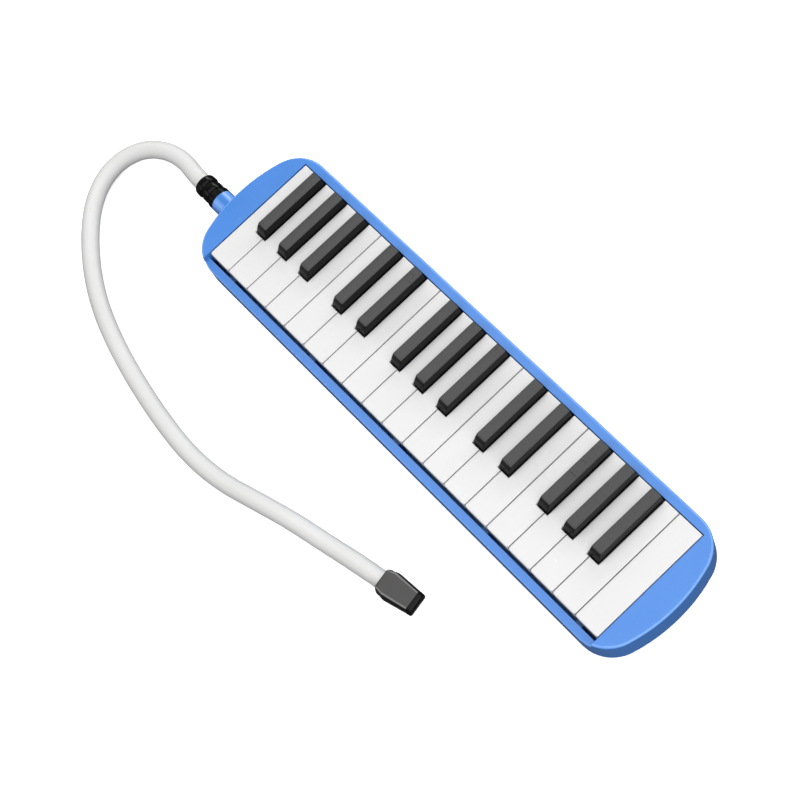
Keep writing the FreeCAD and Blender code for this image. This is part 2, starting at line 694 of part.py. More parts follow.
def felt_strip(at, top):
    y = KEYS_FRONT + at
    return block(KEYS_LEFT, KEYS_RIGHT, y - FELT_WIDTH / 2, y + FELT_WIDTH / 2, top - FELT, top)


# ---------------------------------------------------------------- wind chest
def lug_places():
    """Screw lugs along the wind chest, half way between the case screws and at its ends."""
    row = side_screw_row()
    middles = [(a + b) / 2 for a, b in zip(row, row[1:])]
    row = [CHEST_LEFT + LUG_INSET] + middles + [CHEST_RIGHT - LUG_INSET]
    reach = LUG_REACH / 2
    return [(x, y) for x in row for y in (CHEST_FRONT - reach, CHEST_BACK + reach)]


def with_lugs(shape, z0, z1):
    lugs = []
    for x, y in lug_places():
        lugs.append(post(x, y, z0, z1, LUG_REACH / 2))
        inner = CHEST_FRONT if y < CHEST_FRONT else CHEST_BACK
        low, high = sorted((y, inner))
        lugs.append(block(x - LUG_REACH / 2, x + LUG_REACH / 2, low, high, z0, z1))
    holes = [post(x, y, z0, z1, SMALL_SCREW_RADIUS) for x, y in lug_places()]
    return cut(join([shape] + lugs), holes)


def chest_block(inset, z0, z1):
    return block(CHEST_LEFT + inset, CHEST_RIGHT - inset, CHEST_FRONT + inset, CHEST_BACK - inset, z0, z1)


def seal_face():
    """Where the inlet seal meets the wind chest, behind the end wall at the flange's far side."""
    reach = abs(NECK_Y) + NECK_FLANGE_RADIUS
    wall_x = CASE_MIDDLE - (CASE_LENGTH / 2 - END_RADIUS) - math.sqrt(END_RADIUS ** 2 - reach ** 2)
    return wall_x + CASE_WALL + NECK_SETBACK + NECK_FLANGE + SEAL


def wind_chest():
    box_left = seal_face()
    box_right = box_left + INLET_BOX_LENGTH
    duct_left = box_left + INLET_DUCT_SETBACK
    low, high = NECK_Y - INLET_BOX_HALF, NECK_Y + INLET_BOX_HALF
    duct_back = KEYS_FRONT + INLET_DUCT_END
    wall = INLET_BOX_WALL
    roof = NECK_HEIGHT + INLET_BOX_HALF
    outer = [
        chest_block(0, CHEST_BOTTOM, CHEST_TOP),
        block(box_left, box_right, low, high, CHEST_BOTTOM, roof),
        block(duct_left, box_right, low, duct_back, CHEST_BOTTOM, CHEST_TOP),
        block(box_right - wall, CHEST_LEFT + wall, CHEST_FRONT, duct_back, CHEST_BOTTOM, CHEST_TOP),
    ]
    floor_top = CHEST_BOTTOM + CHEST_FLOOR
    duct_top = CHEST_TOP - CHEST_FLOOR
    inner = [
        chest_block(CHEST_WALL, floor_top, CHEST_TOP),
        block(box_left + wall, box_right - wall, low + wall, high - wall, floor_top, roof - wall),
        block(duct_left + wall, box_right - wall, low + wall, duct_back - wall, floor_top, duct_top),
        block(box_right - 2 * wall, CHEST_LEFT + CHEST_WALL + wall, CHEST_FRONT + wall, duct_back - wall,
              floor_top, duct_top),
        bar(box_left - 1, box_left + 2 * wall, NECK_Y, NECK_HEIGHT, NECK_BORE),
    ]
    body = cut(join(outer), inner)
    step_left = DRAIN_X - DRAIN_BUTTON_RADIUS - DRAIN_STEP_MARGIN
    step_top = CHEST_BOTTOM + DRAIN_STEP + CHEST_FLOOR
    step = block(step_left, CHEST_RIGHT, CHEST_FRONT, CHEST_BACK, CHEST_BOTTOM, step_top)
    under = block(step_left + CHEST_WALL, CHEST_RIGHT + 1, CHEST_FRONT - 1, CHEST_BACK + 1,
                  CHEST_BOTTOM - 1, CHEST_BOTTOM + DRAIN_STEP)
    hole = post(DRAIN_X, DRAIN_Y, CHEST_BOTTOM, CHEST_TOP, DRAIN_HOLE_RADIUS)
    body = cut(join([body, step]), [under, hole])
    return with_lugs(body, CHEST_BOTTOM, CHEST_TOP)


def chest_gasket():
    ring = cut(chest_block(0, CHEST_TOP, BLOCK_BOTTOM), [chest_block(CHEST_WALL, CHEST_TOP, BLOCK_BOTTOM)])
    return with_lugs(ring, CHEST_TOP, BLOCK_BOTTOM)


def valve_block():
    body = chest_block(0, BLOCK_BOTTOM, DECK_TOP)
    holes = []
    for x in key_centres():
        half = CELL_WIDTH / 2
        holes.append(block(x - half, x + half, CHEST_FRONT + CELL_MARGIN, CHEST_BACK - CHEST_WALL,
                           BLOCK_BOTTOM, DECK_TOP - DECK))
        holes.append(block(x - SLOT_WIDTH / 2, x + SLOT_WIDTH / 2, PAD_Y - SLOT_LENGTH / 2,
                           PAD_Y + SLOT_LENGTH / 2, BLOCK_BOTTOM, DECK_TOP))
    for x in between_keys(SCREWED_GAPS):
        holes.append(post(x, rail_screw_y(), BLOCK_BOTTOM + DECK, DECK_TOP, SMALL_SCREW_RADIUS))
        holes.append(post(x, comb_screw_y(), BLOCK_BOTTOM + DECK, DECK_TOP, SMALL_SCREW_RADIUS))
    for x in between_keys(PLATE_GAPS):
        holes.append(post(x, plate_screw_y(), BLOCK_BOTTOM, BLOCK_BOTTOM + DECK * 2, SMALL_SCREW_RADIUS))
    pocket = DRAIN_PAD_RADIUS + DRAIN_BUTTON_GAP
    holes.append(post(DRAIN_X, DRAIN_Y, BLOCK_BOTTOM, DECK_TOP - DECK, pocket))
    return with_lugs(cut(body, holes), BLOCK_BOTTOM, DECK_TOP)


# ---------------------------------------------------------------- reeds
PLATE_GAPS = [0, 7, 14, 16, 23, 29]


def plate_screw_y():
    return CHEST_BACK - CHEST_WALL - CELL_MARGIN


def reed_size(i):
    share = i / (KEY_COUNT - 1)
    length = REED_LENGTH_LOW + (REED_LENGTH_HIGH - REED_LENGTH_LOW) * share
    width = REED_WIDTH_LOW + (REED_WIDTH_HIGH - REED_WIDTH_LOW) * share
    return length, width


def reed_root_y():
    return CHEST_FRONT + CHEST_WALL + REED_PLATE_INSET + REED_FROM_EDGE


def rivet_y():
    return reed_root_y() + REED_ROOT / 2


def reed_plate(first, last):
    centres = key_centres()
    edge = (centres[last] + centres[last + 1]) / 2 if last + 1 < KEY_COUNT else None
    start = (centres[first - 1] + centres[first]) / 2 if first else None
    left = CHEST_LEFT + CHEST_WALL + REED_PLATE_INSET if start is None else start + REED_SIDE_GAP
    drain_side = DRAIN_X - DRAIN_BUTTON_RADIUS - DRAIN_PLATE_MARGIN
    right = drain_side if edge is None else edge - REED_SIDE_GAP
    inset = CHEST_WALL + REED_PLATE_INSET
    bottom = BLOCK_BOTTOM - REED_PLATE
    plate = block(left, right, CHEST_FRONT + inset, CHEST_BACK - inset, bottom, BLOCK_BOTTOM)
    holes = []
    for i in range(first, last + 1):
        length, width = reed_size(i)
        half = width / 2 + REED_SIDE_GAP
        y0 = reed_root_y() + REED_ROOT
        y1 = reed_root_y() + length + 2 * REED_SIDE_GAP
        holes.append(block(centres[i] - half, centres[i] + half, y0, y1, 0, DECK_TOP))
        holes.append(post(centres[i], rivet_y(), 0, DECK_TOP, RIVET_RADIUS))
    for x in between_keys(PLATE_GAPS):
        holes.append(post(x, plate_screw_y(), 0, DECK_TOP, SMALL_SCREW_RADIUS))
    return cut(plate, holes)


def reeds(first, last):
    centres = key_centres()
    top = BLOCK_BOTTOM - REED_PLATE
    blades = []
    for i in range(first, last + 1):
        length, width = reed_size(i)
        blade = block(centres[i] - width / 2, centres[i] + width / 2, reed_root_y(),
                      reed_root_y() + length, top - REED_THICKNESS, top)
        blades.append(cut(blade, [post(centres[i], rivet_y(), 0, DECK_TOP, RIVET_RADIUS)]))
    return blades


def reed_rivets():
    seat = BLOCK_BOTTOM - REED_PLATE - REED_THICKNESS
    rivets = []
    for x in key_centres():
        shank = post(x, rivet_y(), seat, BLOCK_BOTTOM, RIVET_RADIUS)
        head = post(x, rivet_y(), seat - RIVET_HEAD, seat, RIVET_HEAD_RADIUS)
        rivets.append(join([shank, head]))
    return rivets


# ---------------------------------------------------------------- inlet and drain
def inlet_neck():
    flange_right = seal_face() - SEAL
    tube = bar(NECK_MOUTH, flange_right, NECK_Y, NECK_HEIGHT, NECK_RADIUS)
    mouth = edges_where(tube, lambda e: abs(e.BoundBox.XMax - NECK_MOUTH) < CLOSE)
    tube = tube.makeChamfer(NECK_CHAMFER, mouth)
    flange = bar(flange_right - NECK_FLANGE, flange_right, NECK_Y, NECK_HEIGHT, NECK_FLANGE_RADIUS)
    bore = bar(NECK_MOUTH - 1, flange_right + 1, NECK_Y, NECK_HEIGHT, NECK_BORE)
    return cut(join([tube, flange]), [bore])


def inlet_seal():
    right = seal_face()
    ring = bar(right - SEAL, right, NECK_Y, NECK_HEIGHT, NECK_RADIUS)
    return cut(ring, [bar(right - SEAL - 1, right + 1, NECK_Y, NECK_HEIGHT, NECK_BORE)])


def drain_button():
    top = DRAIN_BUTTON_BOTTOM + DRAIN_BUTTON_HEIGHT
    cap = post(DRAIN_X, DRAIN_Y, DRAIN_BUTTON_BOTTOM, top, DRAIN_BUTTON_RADIUS)
    stem_top = CHEST_BOTTOM + DRAIN_STEP + CHEST_FLOOR + DRAIN_PAD
    stem = post(DRAIN_X, DRAIN_Y, top, stem_top, DRAIN_STEM_RADIUS)
    return join([cap, stem])


def drain_pad():
    bottom = CHEST_BOTTOM + DRAIN_STEP + CHEST_FLOOR
    disc = post(DRAIN_X, DRAIN_Y, bottom, bottom + DRAIN_PAD, DRAIN_PAD_RADIUS)
    return cut(disc, [post(DRAIN_X, DRAIN_Y, 0, KEY_TOP, DRAIN_STEM_RADIUS)])


def drain_spring():
    """A helix of fine eight-sided wire between the button and the chest."""
    bottom = DRAIN_BUTTON_BOTTOM + DRAIN_BUTTON_HEIGHT + SPRING_WIRE
    top = CHEST_BOTTOM + DRAIN_STEP - SPRING_WIRE
    pitch = (top - bottom) / SPRING_TURNS
    helix = Part.makeLongHelix(pitch, top - bottom, SPRING_COIL_RADIUS)
    corners = [2 * math.pi * i / SPRING_WIRE_SIDES for i in range(SPRING_WIRE_SIDES + 1)]
    section = Part.makePolygon([
        V(SPRING_COIL_RADIUS + SPRING_WIRE * math.cos(a), 0, SPRING_WIRE * math.sin(a)) for a in corners
    ])
    spring = Part.Wire(helix.Edges).makePipeShell([section], True, True)
    spring.translate(V(DRAIN_X, DRAIN_Y, bottom))
    return spring


# ---------------------------------------------------------------- hose
HOSE_ROUTE = [
    (CUFF_END + CUFF_SOCKET, NECK_Y, NECK_HEIGHT),
    (CUFF_END - HOSE_STRAIGHT, NECK_Y, NECK_HEIGHT),
    (-250, -9.8, 14.6),
    (-267.5, -14.2, 13),
    (-281.8, -25.6, 11),
    (-290.2, -41.6, 8.8),
    (-291.2, -59.5, 7.2),
    (-285.5, -76.5, HOSE_LIE),
    (-273.5, -91, HOSE_LIE),
    (-251, -105.5, HOSE_LIE),
    (-221, -118.5, HOSE_LIE),
    (-188, -127, HOSE_LIE),
    (-156, -134, HOSE_LIE),
    (-123, -139, HOSE_LIE),
    (-90, -141.5, HOSE_LIE),
    (-60, -138.5, HOSE_LIE),
    (-33, -130.5, HOSE_LIE),
    (-5, -122.5, HOSE_LIE),
    (23, -116.6, HOSE_LIE),
    (47, -111, HOSE_LIE),
    (71.8, -106.4, HOSE_LIE),
]
ARC_SHARE = 0.45


def hose_path():
    """Straight runs joined by arcs, each arc as large as its two runs allow."""
    points = [V(*p) for p in HOSE_ROUTE]
    edges = []
    radii = []
    last = points[0]
    for before, corner, after in zip(points, points[1:], points[2:]):
        back = (before - corner).normalize()
        ahead = (after - corner).normalize()
        reach = ARC_SHARE * min((before - corner).Length, (after - corner).Length)
        turn = math.pi - back.getAngle(ahead)
        radius = reach / math.tan(turn / 2)
        radii.append(round(radius, 1))
        middle = (back + ahead).normalize()
        depth = radius / math.cos(turn / 2) - radius
        start = corner + back * reach
        end = corner + ahead * reach
        edges.append(Part.LineSegment(last, start).toShape())
        edges.append(Part.Arc(start, corner + middle * depth, end).toShape())
        last = end
    edges.append(Part.LineSegment(last, points[-1]).toShape())
    print("hose arc radii", radii)
    return Part.Wire(edges)


def hose_tube():
    path = hose_path()
    start = V(*HOSE_ROUTE[0])
    heading = (V(*HOSE_ROUTE[1]) - start).normalize()
    outer = Part.Wire(Part.makeCircle(HOSE_RADIUS, start, heading))
    inner = Part.Wire(Part.makeCircle(HOSE_RADIUS - HOSE_WALL, start, heading))
    tube = path.makePipeShell([outer], True, False).cut(path.makePipeShell([inner], True, False))
    section = math.pi * (HOSE_RADIUS ** 2 - (HOSE_RADIUS - HOSE_WALL) ** 2)
    print("hose length", round(path.Length, 1), "volume over section x length",
          round(tube.Volume / (section * path.Length), 4))
    return tube


def hose_cuff():
    """A turned rubber cuff: a collar, a barrel and a flange with a groove between each."""
    groove = CUFF_BARREL_RADIUS - CUFF_GROOVE_DEPTH
    flange_left = NECK_MOUTH - CUFF_FLANGE
    collar_right = CUFF_END + CUFF_COLLAR
    bands = [
        (CUFF_END, collar_right, CUFF_COLLAR_RADIUS),
        (collar_right, collar_right + CUFF_GROOVE, groove),
        (collar_right + CUFF_GROOVE, flange_left - CUFF_GROOVE, CUFF_BARREL_RADIUS),
        (flange_left - CUFF_GROOVE, flange_left, groove),
        (flange_left, NECK_MOUTH, NECK_RADIUS),
        (NECK_MOUTH, NECK_MOUTH + SPIGOT_LENGTH, NECK_BORE - SPIGOT_SLIP),
    ]
    body = join([bar(x0, x1, NECK_Y, NECK_HEIGHT, radius) for x0, x1, radius in bands])
    socket = bar(CUFF_END - 1, CUFF_END + CUFF_SOCKET, NECK_Y, NECK_HEIGHT, HOSE_RADIUS)
    bore = bar(CUFF_END, NECK_MOUTH + SPIGOT_LENGTH + 1, NECK_Y, NECK_HEIGHT, CUFF_BORE)
    return cut(body, [socket, bore])


def mouthpiece():
    """A wedge on the hose's far end, widest at its shoulder, with a slot to blow through."""
    end = V(*HOSE_ROUTE[-1])
    before = V(*HOSE_ROUTE[-2])
    angle = math.degrees(math.atan2(end.y - before.y, end.x - before.x))
    root, shoulder, tip = MOUTH_ROOT_WIDTH / 2, MOUTH_SHOULDER_WIDTH / 2, MOUTH_TIP_WIDTH / 2
    plan = [(0, -root), (MOUTH_SHOULDER_AT, -shoulder), (MOUTH_LENGTH, -tip),
            (MOUTH_LENGTH, tip), (MOUTH_SHOULDER_AT, shoulder), (0, root)]
    body = prism([(x, y, 0) for x, y in plan], (0, 0, MOUTH_ROOT_HEIGHT))
    side = [(-1, 0), (MOUTH_LENGTH + 1, 0), (MOUTH_LENGTH + 1, MOUTH_TIP_HEIGHT),
            (MOUTH_SHOULDER_AT, MOUTH_ROOT_HEIGHT), (-1, MOUTH_ROOT_HEIGHT)]
    wedge = prism([(x, -MOUTH_SHOULDER_WIDTH, z) for x, z in side], (0, 2 * MOUTH_SHOULDER_WIDTH, 0))
    body = body.common(wedge).removeSplitter()
    body = body.makeFillet(MOUTH_EDGE, body.Edges)
    slot_z = MOUTH_TIP_HEIGHT / 2
    holes = [
        bar(-1, MOUTH_SOCKET, 0, HOSE_LIE, HOSE_RADIUS),
        block(MOUTH_SOCKET - 1, MOUTH_LENGTH + 1, -MOUTH_SLOT_WIDTH / 2, MOUTH_SLOT_WIDTH / 2,
              slot_z - MOUTH_SLOT_HEIGHT / 2, slot_z + MOUTH_SLOT_HEIGHT / 2),
    ]
    for step in (1, 2):
        x = MOUTH_LENGTH - MOUTH_EDGE - step * 2 * MOUTH_GROOVE
        ring = block(x, x + MOUTH_GROOVE, -shoulder, shoulder, -1, MOUTH_ROOT_HEIGHT)
        core = block(x - 1, x + 2, -tip + MOUTH_GROOVE_DEPTH, tip - MOUTH_GROOVE_DEPTH,
                     MOUTH_GROOVE_DEPTH, MOUTH_TIP_HEIGHT - MOUTH_GROOVE_DEPTH)
        holes.append(ring.cut(core))
    body = cut(body, holes)
    body.rotate(V(0, 0, 0), V(0, 0, 1), angle)
    heading = V(math.cos(math.radians(angle)), math.sin(math.radians(angle)), 0)
    root_at = V(end.x, end.y, 0) - heading * MOUTH_SOCKET
    body.translate(root_at)
    return body


# ---------------------------------------------------------------- build
save("upper_case", [upper_case()])
save("lower_case", [lower_case()])
save("case_screws", case_screws())
all_keys()
save("key_pivot_rod", [pivot_rod()])
save("key_bearing_rail", [bearing_rail()])
save("key_spring_comb", [spring_comb()])
save("white_key_felt", [felt_strip(WHITE_FELT_AT, WHITE_FELT_TOP)])
save("black_key_felt", [felt_strip(BLACK_FELT_AT, BLACK_FELT_TOP)])
save("wind_chest", [wind_chest()])
save("chest_gasket", [chest_gasket()])
save("valve_block", [valve_block()])
save("chest_screws", [small_screw(x, y, DECK_TOP, FLOOR, -1) for x, y in lug_places()])
save("rail_screws", [small_screw(x, rail_screw_y(), RAIL_DECK, BLOCK_BOTTOM + DECK, -1)
                     for x in between_keys(SCREWED_GAPS)])
save("comb_screws", [small_screw(x, comb_screw_y(), RAIL_DECK + SPRING_SHEET, BLOCK_BOTTOM + DECK, -1)
                     for x in between_keys(SCREWED_GAPS)])
save("reed_plate_low", [reed_plate(0, KEY_COUNT // 2 - 1)])
save("reed_plate_high", [reed_plate(KEY_COUNT // 2, KEY_COUNT - 1)])
save("reeds_low", reeds(0, KEY_COUNT // 2 - 1))
save("reeds_high", reeds(KEY_COUNT // 2, KEY_COUNT - 1))
save("reed_rivets", reed_rivets())
save("reed_plate_screws", [small_screw(x, plate_screw_y(), BLOCK_BOTTOM - REED_PLATE,
                                       BLOCK_BOTTOM + DECK * 2, 1) for x in between_keys(PLATE_GAPS)])
save("inlet_neck", [inlet_neck()])
save("inlet_seal", [inlet_seal()])
save("drain_button", [drain_button()])
save("drain_pad", [drain_pad()])
save("drain_spring", [drain_spring()])
save("hose_cuff", [hose_cuff()])
save("hose_tube", [hose_tube()])
save("mouthpiece", [mouthpiece()])
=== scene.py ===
"""The looks of a 32-key melodica: blue plastic case, white and black keys, and a soft blowing
hose with a ribbed cuff and a mouthpiece. Metres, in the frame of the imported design."""
import json
import math

import bpy
import numpy as np
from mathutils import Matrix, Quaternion, Vector


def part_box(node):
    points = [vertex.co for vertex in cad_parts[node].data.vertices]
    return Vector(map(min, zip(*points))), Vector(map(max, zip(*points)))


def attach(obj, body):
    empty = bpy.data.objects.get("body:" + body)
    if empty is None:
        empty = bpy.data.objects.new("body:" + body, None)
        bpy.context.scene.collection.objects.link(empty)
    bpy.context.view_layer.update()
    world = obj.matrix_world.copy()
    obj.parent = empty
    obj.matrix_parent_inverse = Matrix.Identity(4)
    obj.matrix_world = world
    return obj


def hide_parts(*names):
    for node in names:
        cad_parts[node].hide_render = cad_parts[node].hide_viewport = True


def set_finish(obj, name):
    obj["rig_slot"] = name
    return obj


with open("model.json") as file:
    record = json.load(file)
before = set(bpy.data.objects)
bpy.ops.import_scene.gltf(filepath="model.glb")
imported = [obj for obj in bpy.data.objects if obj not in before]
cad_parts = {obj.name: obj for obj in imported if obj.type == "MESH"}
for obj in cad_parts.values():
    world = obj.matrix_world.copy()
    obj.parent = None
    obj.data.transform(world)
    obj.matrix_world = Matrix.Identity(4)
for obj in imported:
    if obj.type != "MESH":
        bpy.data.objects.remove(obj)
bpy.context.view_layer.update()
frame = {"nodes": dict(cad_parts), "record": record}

MM = 0.001
NODES = frame["nodes"]
BODY_OF = {n: b for b, members in frame["record"]["behaviour"]["bodies"].items() for n in members}
SLOT_OF = {s["node"]: s["material_slot"] for s in frame["record"]["subparts"]}


# ---------------------------------------------------------------- camera
CAMERA_PLACE = Vector((0.5011, -0.1275, 1.1183))
CAMERA_AIM = Vector((-0.0184, -0.0212, 0.0))
CAMERA_ROLL = math.radians(-32.81)
CAMERA_LENS = 88.2


def make_camera():
    """A camera that looks from its place to its aim, rolled about its own line of sight."""
    data = bpy.data.cameras.new("camera")
    data.lens = CAMERA_LENS
    camera = bpy.data.objects.new("camera", data)
    bpy.context.scene.collection.objects.link(camera)
    level = (CAMERA_AIM - CAMERA_PLACE).to_track_quat("-Z", "Y")
    camera.rotation_mode = "QUATERNION"
    camera.rotation_quaternion = level @ Quaternion((0, 0, 1), CAMERA_ROLL)
    camera.location = CAMERA_PLACE
    bpy.context.scene.camera = camera


make_camera()


# ---------------------------------------------------------------- surfaces
SHARP_ANGLE = math.radians(38)
SAME_PLACE = 1e-6


def surface(name, grid, capped=False):
    """A mesh from a grid of points, row after row of equal length. The points of a row join
    round into a ring. Where it is capped, one face closes the first row and one the last;
    otherwise the last row joins round to the first."""
    rows, columns = grid.shape[:2]
    index = np.arange(rows * columns).reshape(rows, columns)
    if capped:
        caps = [index[0, ::-1].tolist(), index[-1].tolist()]
    else:
        caps = []
        index = np.concatenate([index, index[:1]])
    index = np.concatenate([index, index[:, :1]], axis=1)
    quads = np.stack([index[:-1, :-1], index[:-1, 1:], index[1:, 1:], index[1:, :-1]], axis=-1)
    mesh = bpy.data.meshes.new(name)
    mesh.from_pydata(grid.reshape(-1, 3).tolist(), [], quads.reshape(-1, 4).tolist() + caps)
    mesh.validate()
    mesh.polygons.foreach_set("use_smooth", np.ones(len(mesh.polygons), bool))
    mesh.set_sharp_from_angle(angle=SHARP_ANGLE)
    piece = bpy.data.objects.new(name, mesh)
    bpy.context.scene.collection.objects.link(piece)
    return piece


def turned(name, start, profile, steps=96):
    """A profile turned round the cuff's middle line, its last point joined to its first. Its
    points are (place along X from the start, radius), in an order that faces outwards."""
    around = np.linspace(0, 2 * math.pi, steps, endpoint=False)
    radius = profile[:, 1:]
    x = np.repeat(start + profile[:, :1], steps, axis=1)
    y = AXIS_Y + radius * np.cos(around)
    z = AXIS_Z + radius * np.sin(around)
    return surface(name, MM * np.stack([x, y, z], axis=-1))


def rounded(corners, radius, steps=5):
    """The points of a profile whose corners, all but the first, are small curves: a quadratic
    blend between the points one radius before the corner and one radius after it. The corners
    end where they start. Curves that meet share one point."""
    corners = [np.array(corner, float) for corner in corners]
    share = np.linspace(0, 1, steps)[:, None]
    points = corners[:1]
    for before, corner, after in zip(corners, corners[1:], corners[2:]):
        back, ahead = before - corner, after - corner
        reach = min(radius, np.linalg.norm(back) / 2, np.linalg.norm(ahead) / 2)
        start = corner + back / np.linalg.norm(back) * reach
        end = corner + ahead / np.linalg.norm(ahead) * reach
        points += list((1 - share) ** 2 * start + 2 * share * (1 - share) * corner + share ** 2 * end)
    points = np.array(points)
    apart = np.linalg.norm(np.diff(points, axis=0), axis=1) > SAME_PLACE
    return points[np.concatenate([[True], apart])]


# ---------------------------------------------------------------- hose
# The hose, cuff, neck, mouthpiece and black keys are sized in millimetres, which MM turns to metres.
HOSE_RADIUS = 6.2
HOSE_LIE = 6.35
HOSE_STEPS = 64
HOSE_SQUEEZE = 0.1
RIPPLE_DEPTH = 0.04
RIPPLE_END_DEPTH = 0.12
RIPPLE_END_REACH = 30
RIPPLE_SHORT, RIPPLE_LONG, RIPPLE_SHIFT = 1.6, 6.7, 1.3
CUFF_SOCKET = 5
SPIGOT_LENGTH = 12
cuff_low, cuff_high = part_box("hose_cuff")
AXIS_Y = (cuff_low.y + cuff_high.y) / 2 / MM
AXIS_Z = (cuff_low.z + cuff_high.z) / 2 / MM
NECK_RADIUS = (cuff_high.z - cuff_low.z) / 2 / MM
CUFF_END = cuff_low.x / MM
NECK_MOUTH = cuff_high.x / MM - SPIGOT_LENGTH
HOSE_START = CUFF_END + CUFF_SOCKET
HOSE_ROUTE = [
    (HOSE_START, AXIS_Y, AXIS_Z),
    (-236, AXIS_Y, AXIS_Z),
    (-250.5, -8.8, 14.6),
    (-267.5, -11.8, 13),
    (-282.5, -21.5, 11),
    (-290.8, -37.5, 8.8),
    (-290.3, -55, 7.2),
    (-282.5, -71, HOSE_LIE),
    (-268.5, -86, HOSE_LIE),
    (-246.5, -102.5, HOSE_LIE),
    (-219, -117, HOSE_LIE),
    (-188, -127, HOSE_LIE),
    (-156, -134, HOSE_LIE),
    (-123, -139, HOSE_LIE),
    (-90, -141.5, HOSE_LIE),
    (-60, -138.5, HOSE_LIE),
    (-33, -130.5, HOSE_LIE),
    (-5, -122.5, HOSE_LIE),
    (23, -116.6, HOSE_LIE),
    (47, -111, HOSE_LIE),
    (71.8, -106.4, HOSE_LIE),
]


def route_line():
    """The smooth line that the hose follows, in metres: a NURBS spline with the route as its
    control points, read back as the points of a curve that has no thickness."""
    curve = bpy.data.curves.new("hose_line", "CURVE")
    curve.dimensions = "3D"
    curve.resolution_u = 24
    spline = curve.splines.new("NURBS")
    spline.points.add(len(HOSE_ROUTE) - 1)
    for point, place in zip(spline.points, HOSE_ROUTE):
        point.co = (*(MM * c for c in place), 1)
    spline.order_u = 3
    spline.use_endpoint_u = True
    holder = bpy.data.objects.new("hose_line", curve)
    bpy.context.scene.collection.objects.link(holder)
    line = bpy.data.meshes.new_from_object(holder.evaluated_get(bpy.context.evaluated_depsgraph_get()))
    points = np.zeros(len(line.vertices) * 3)
    line.vertices.foreach_get("co", points)
    bpy.data.objects.remove(holder)
    bpy.data.meshes.remove(line)
    return points.reshape(-1, 3)


def sides_along(points):
    """Unit vectors level to the left of a line, and up from it, at each of its points."""
    along = np.gradient(points, axis=0)
    along /= np.linalg.norm(along, axis=1, keepdims=True)
    left = np.cross((0, 0, 1), along)
    left /= np.linalg.norm(left, axis=1, keepdims=True)
    return left, np.cross(along, left)


def make_hose():
    """A tube round the route. Two sines of the run along it, added, ripple its radius: by less
    than a tenth of a millimetre, and by more near the two ends, where the tube is pushed on."""
    points = route_line()
    left, up = sides_along(points)
    run = np.concatenate([[0], np.cumsum(np.linalg.norm(np.diff(points, axis=0), axis=1))]) / MM
    from_end = np.minimum(run, run[-1] - run)
    depth = RIPPLE_DEPTH + RIPPLE_END_DEPTH * np.exp(-from_end / RIPPLE_END_REACH)
    ripple = (np.sin(run / RIPPLE_SHORT) + np.sin(run / RIPPLE_LONG + RIPPLE_SHIFT) - 1) / 2
    radius = MM * (HOSE_RADIUS + depth * ripple)
    around = np.linspace(0, 2 * math.pi, HOSE_STEPS, endpoint=False)[:, None]
    ring = np.cos(around) * left[:, None] + np.sin(around) * up[:, None]
    hose = surface("hose", points[:, None] + radius[:, None, None] * ring, capped=True)
    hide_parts("hose_tube")
    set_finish(hose, "hose_white")
    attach(hose, "hose")
    return hose


# ---------------------------------------------------------------- cuff and neck
CUFF_BORE = 4.0
CUFF_COLLAR, CUFF_BARREL, CUFF_GROOVE = 7.8, 7.5, 6.6
CUFF_SPIGOT = 6.1
CUFF_RINGS = (16.1, 17.5, 18.9)
CUFF_RING_DEPTH = 0.35
CUFF_ROUNDING = 0.3
NECK_BORE = 6.2
NECK_WALL = 1.4
NECK_FLARE = 2.6
NECK_SINK = 1.2
NECK_ROUNDING = 0.15


def make_cuff():
    """A turned cuff: a rounded collar on the hose, a groove, a plain barrel, a groove, and a
    flange cut by three fine rings. A spigot goes on into the neck. Places count from the end
    of the cuff that holds the hose."""
    socket = HOSE_RADIUS - HOSE_SQUEEZE
    mouth = NECK_MOUTH - CUFF_END
    tip = mouth + SPIGOT_LENGTH
    ring_bottom = NECK_RADIUS - CUFF_RING_DEPTH
    profile = [
        (CUFF_SOCKET, CUFF_BORE), (CUFF_SOCKET, socket), (0, socket), (0, CUFF_COLLAR - 0.5),
        (0.8, CUFF_COLLAR), (4.6, CUFF_COLLAR + 0.25), (5.9, CUFF_COLLAR - 0.4),
        (6.3, CUFF_GROOVE), (7.0, CUFF_GROOVE), (7.4, CUFF_BARREL - 0.25),
        (8.2, CUFF_BARREL + 0.1), (11.0, CUFF_BARREL + 0.2), (13.0, CUFF_BARREL - 0.1),
        (13.5, CUFF_GROOVE), (14.3, CUFF_GROOVE), (14.7, NECK_RADIUS - 0.3), (15.5, NECK_RADIUS),
    ]
    for place in CUFF_RINGS:
        profile += [(place, NECK_RADIUS), (place + 0.2, ring_bottom), (place + 0.5, ring_bottom),
                    (place + 0.7, NECK_RADIUS)]
    profile += [
        (mouth, NECK_RADIUS), (mouth, CUFF_SPIGOT), (tip - 0.6, CUFF_SPIGOT),
        (tip, CUFF_SPIGOT - 0.5), (tip, CUFF_BORE), profile[0],
    ]
    cuff = turned("cuff", CUFF_END, rounded(profile, CUFF_ROUNDING))
    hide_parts("hose_cuff")
    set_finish(cuff, "cuff_black")
    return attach(cuff, "hose")


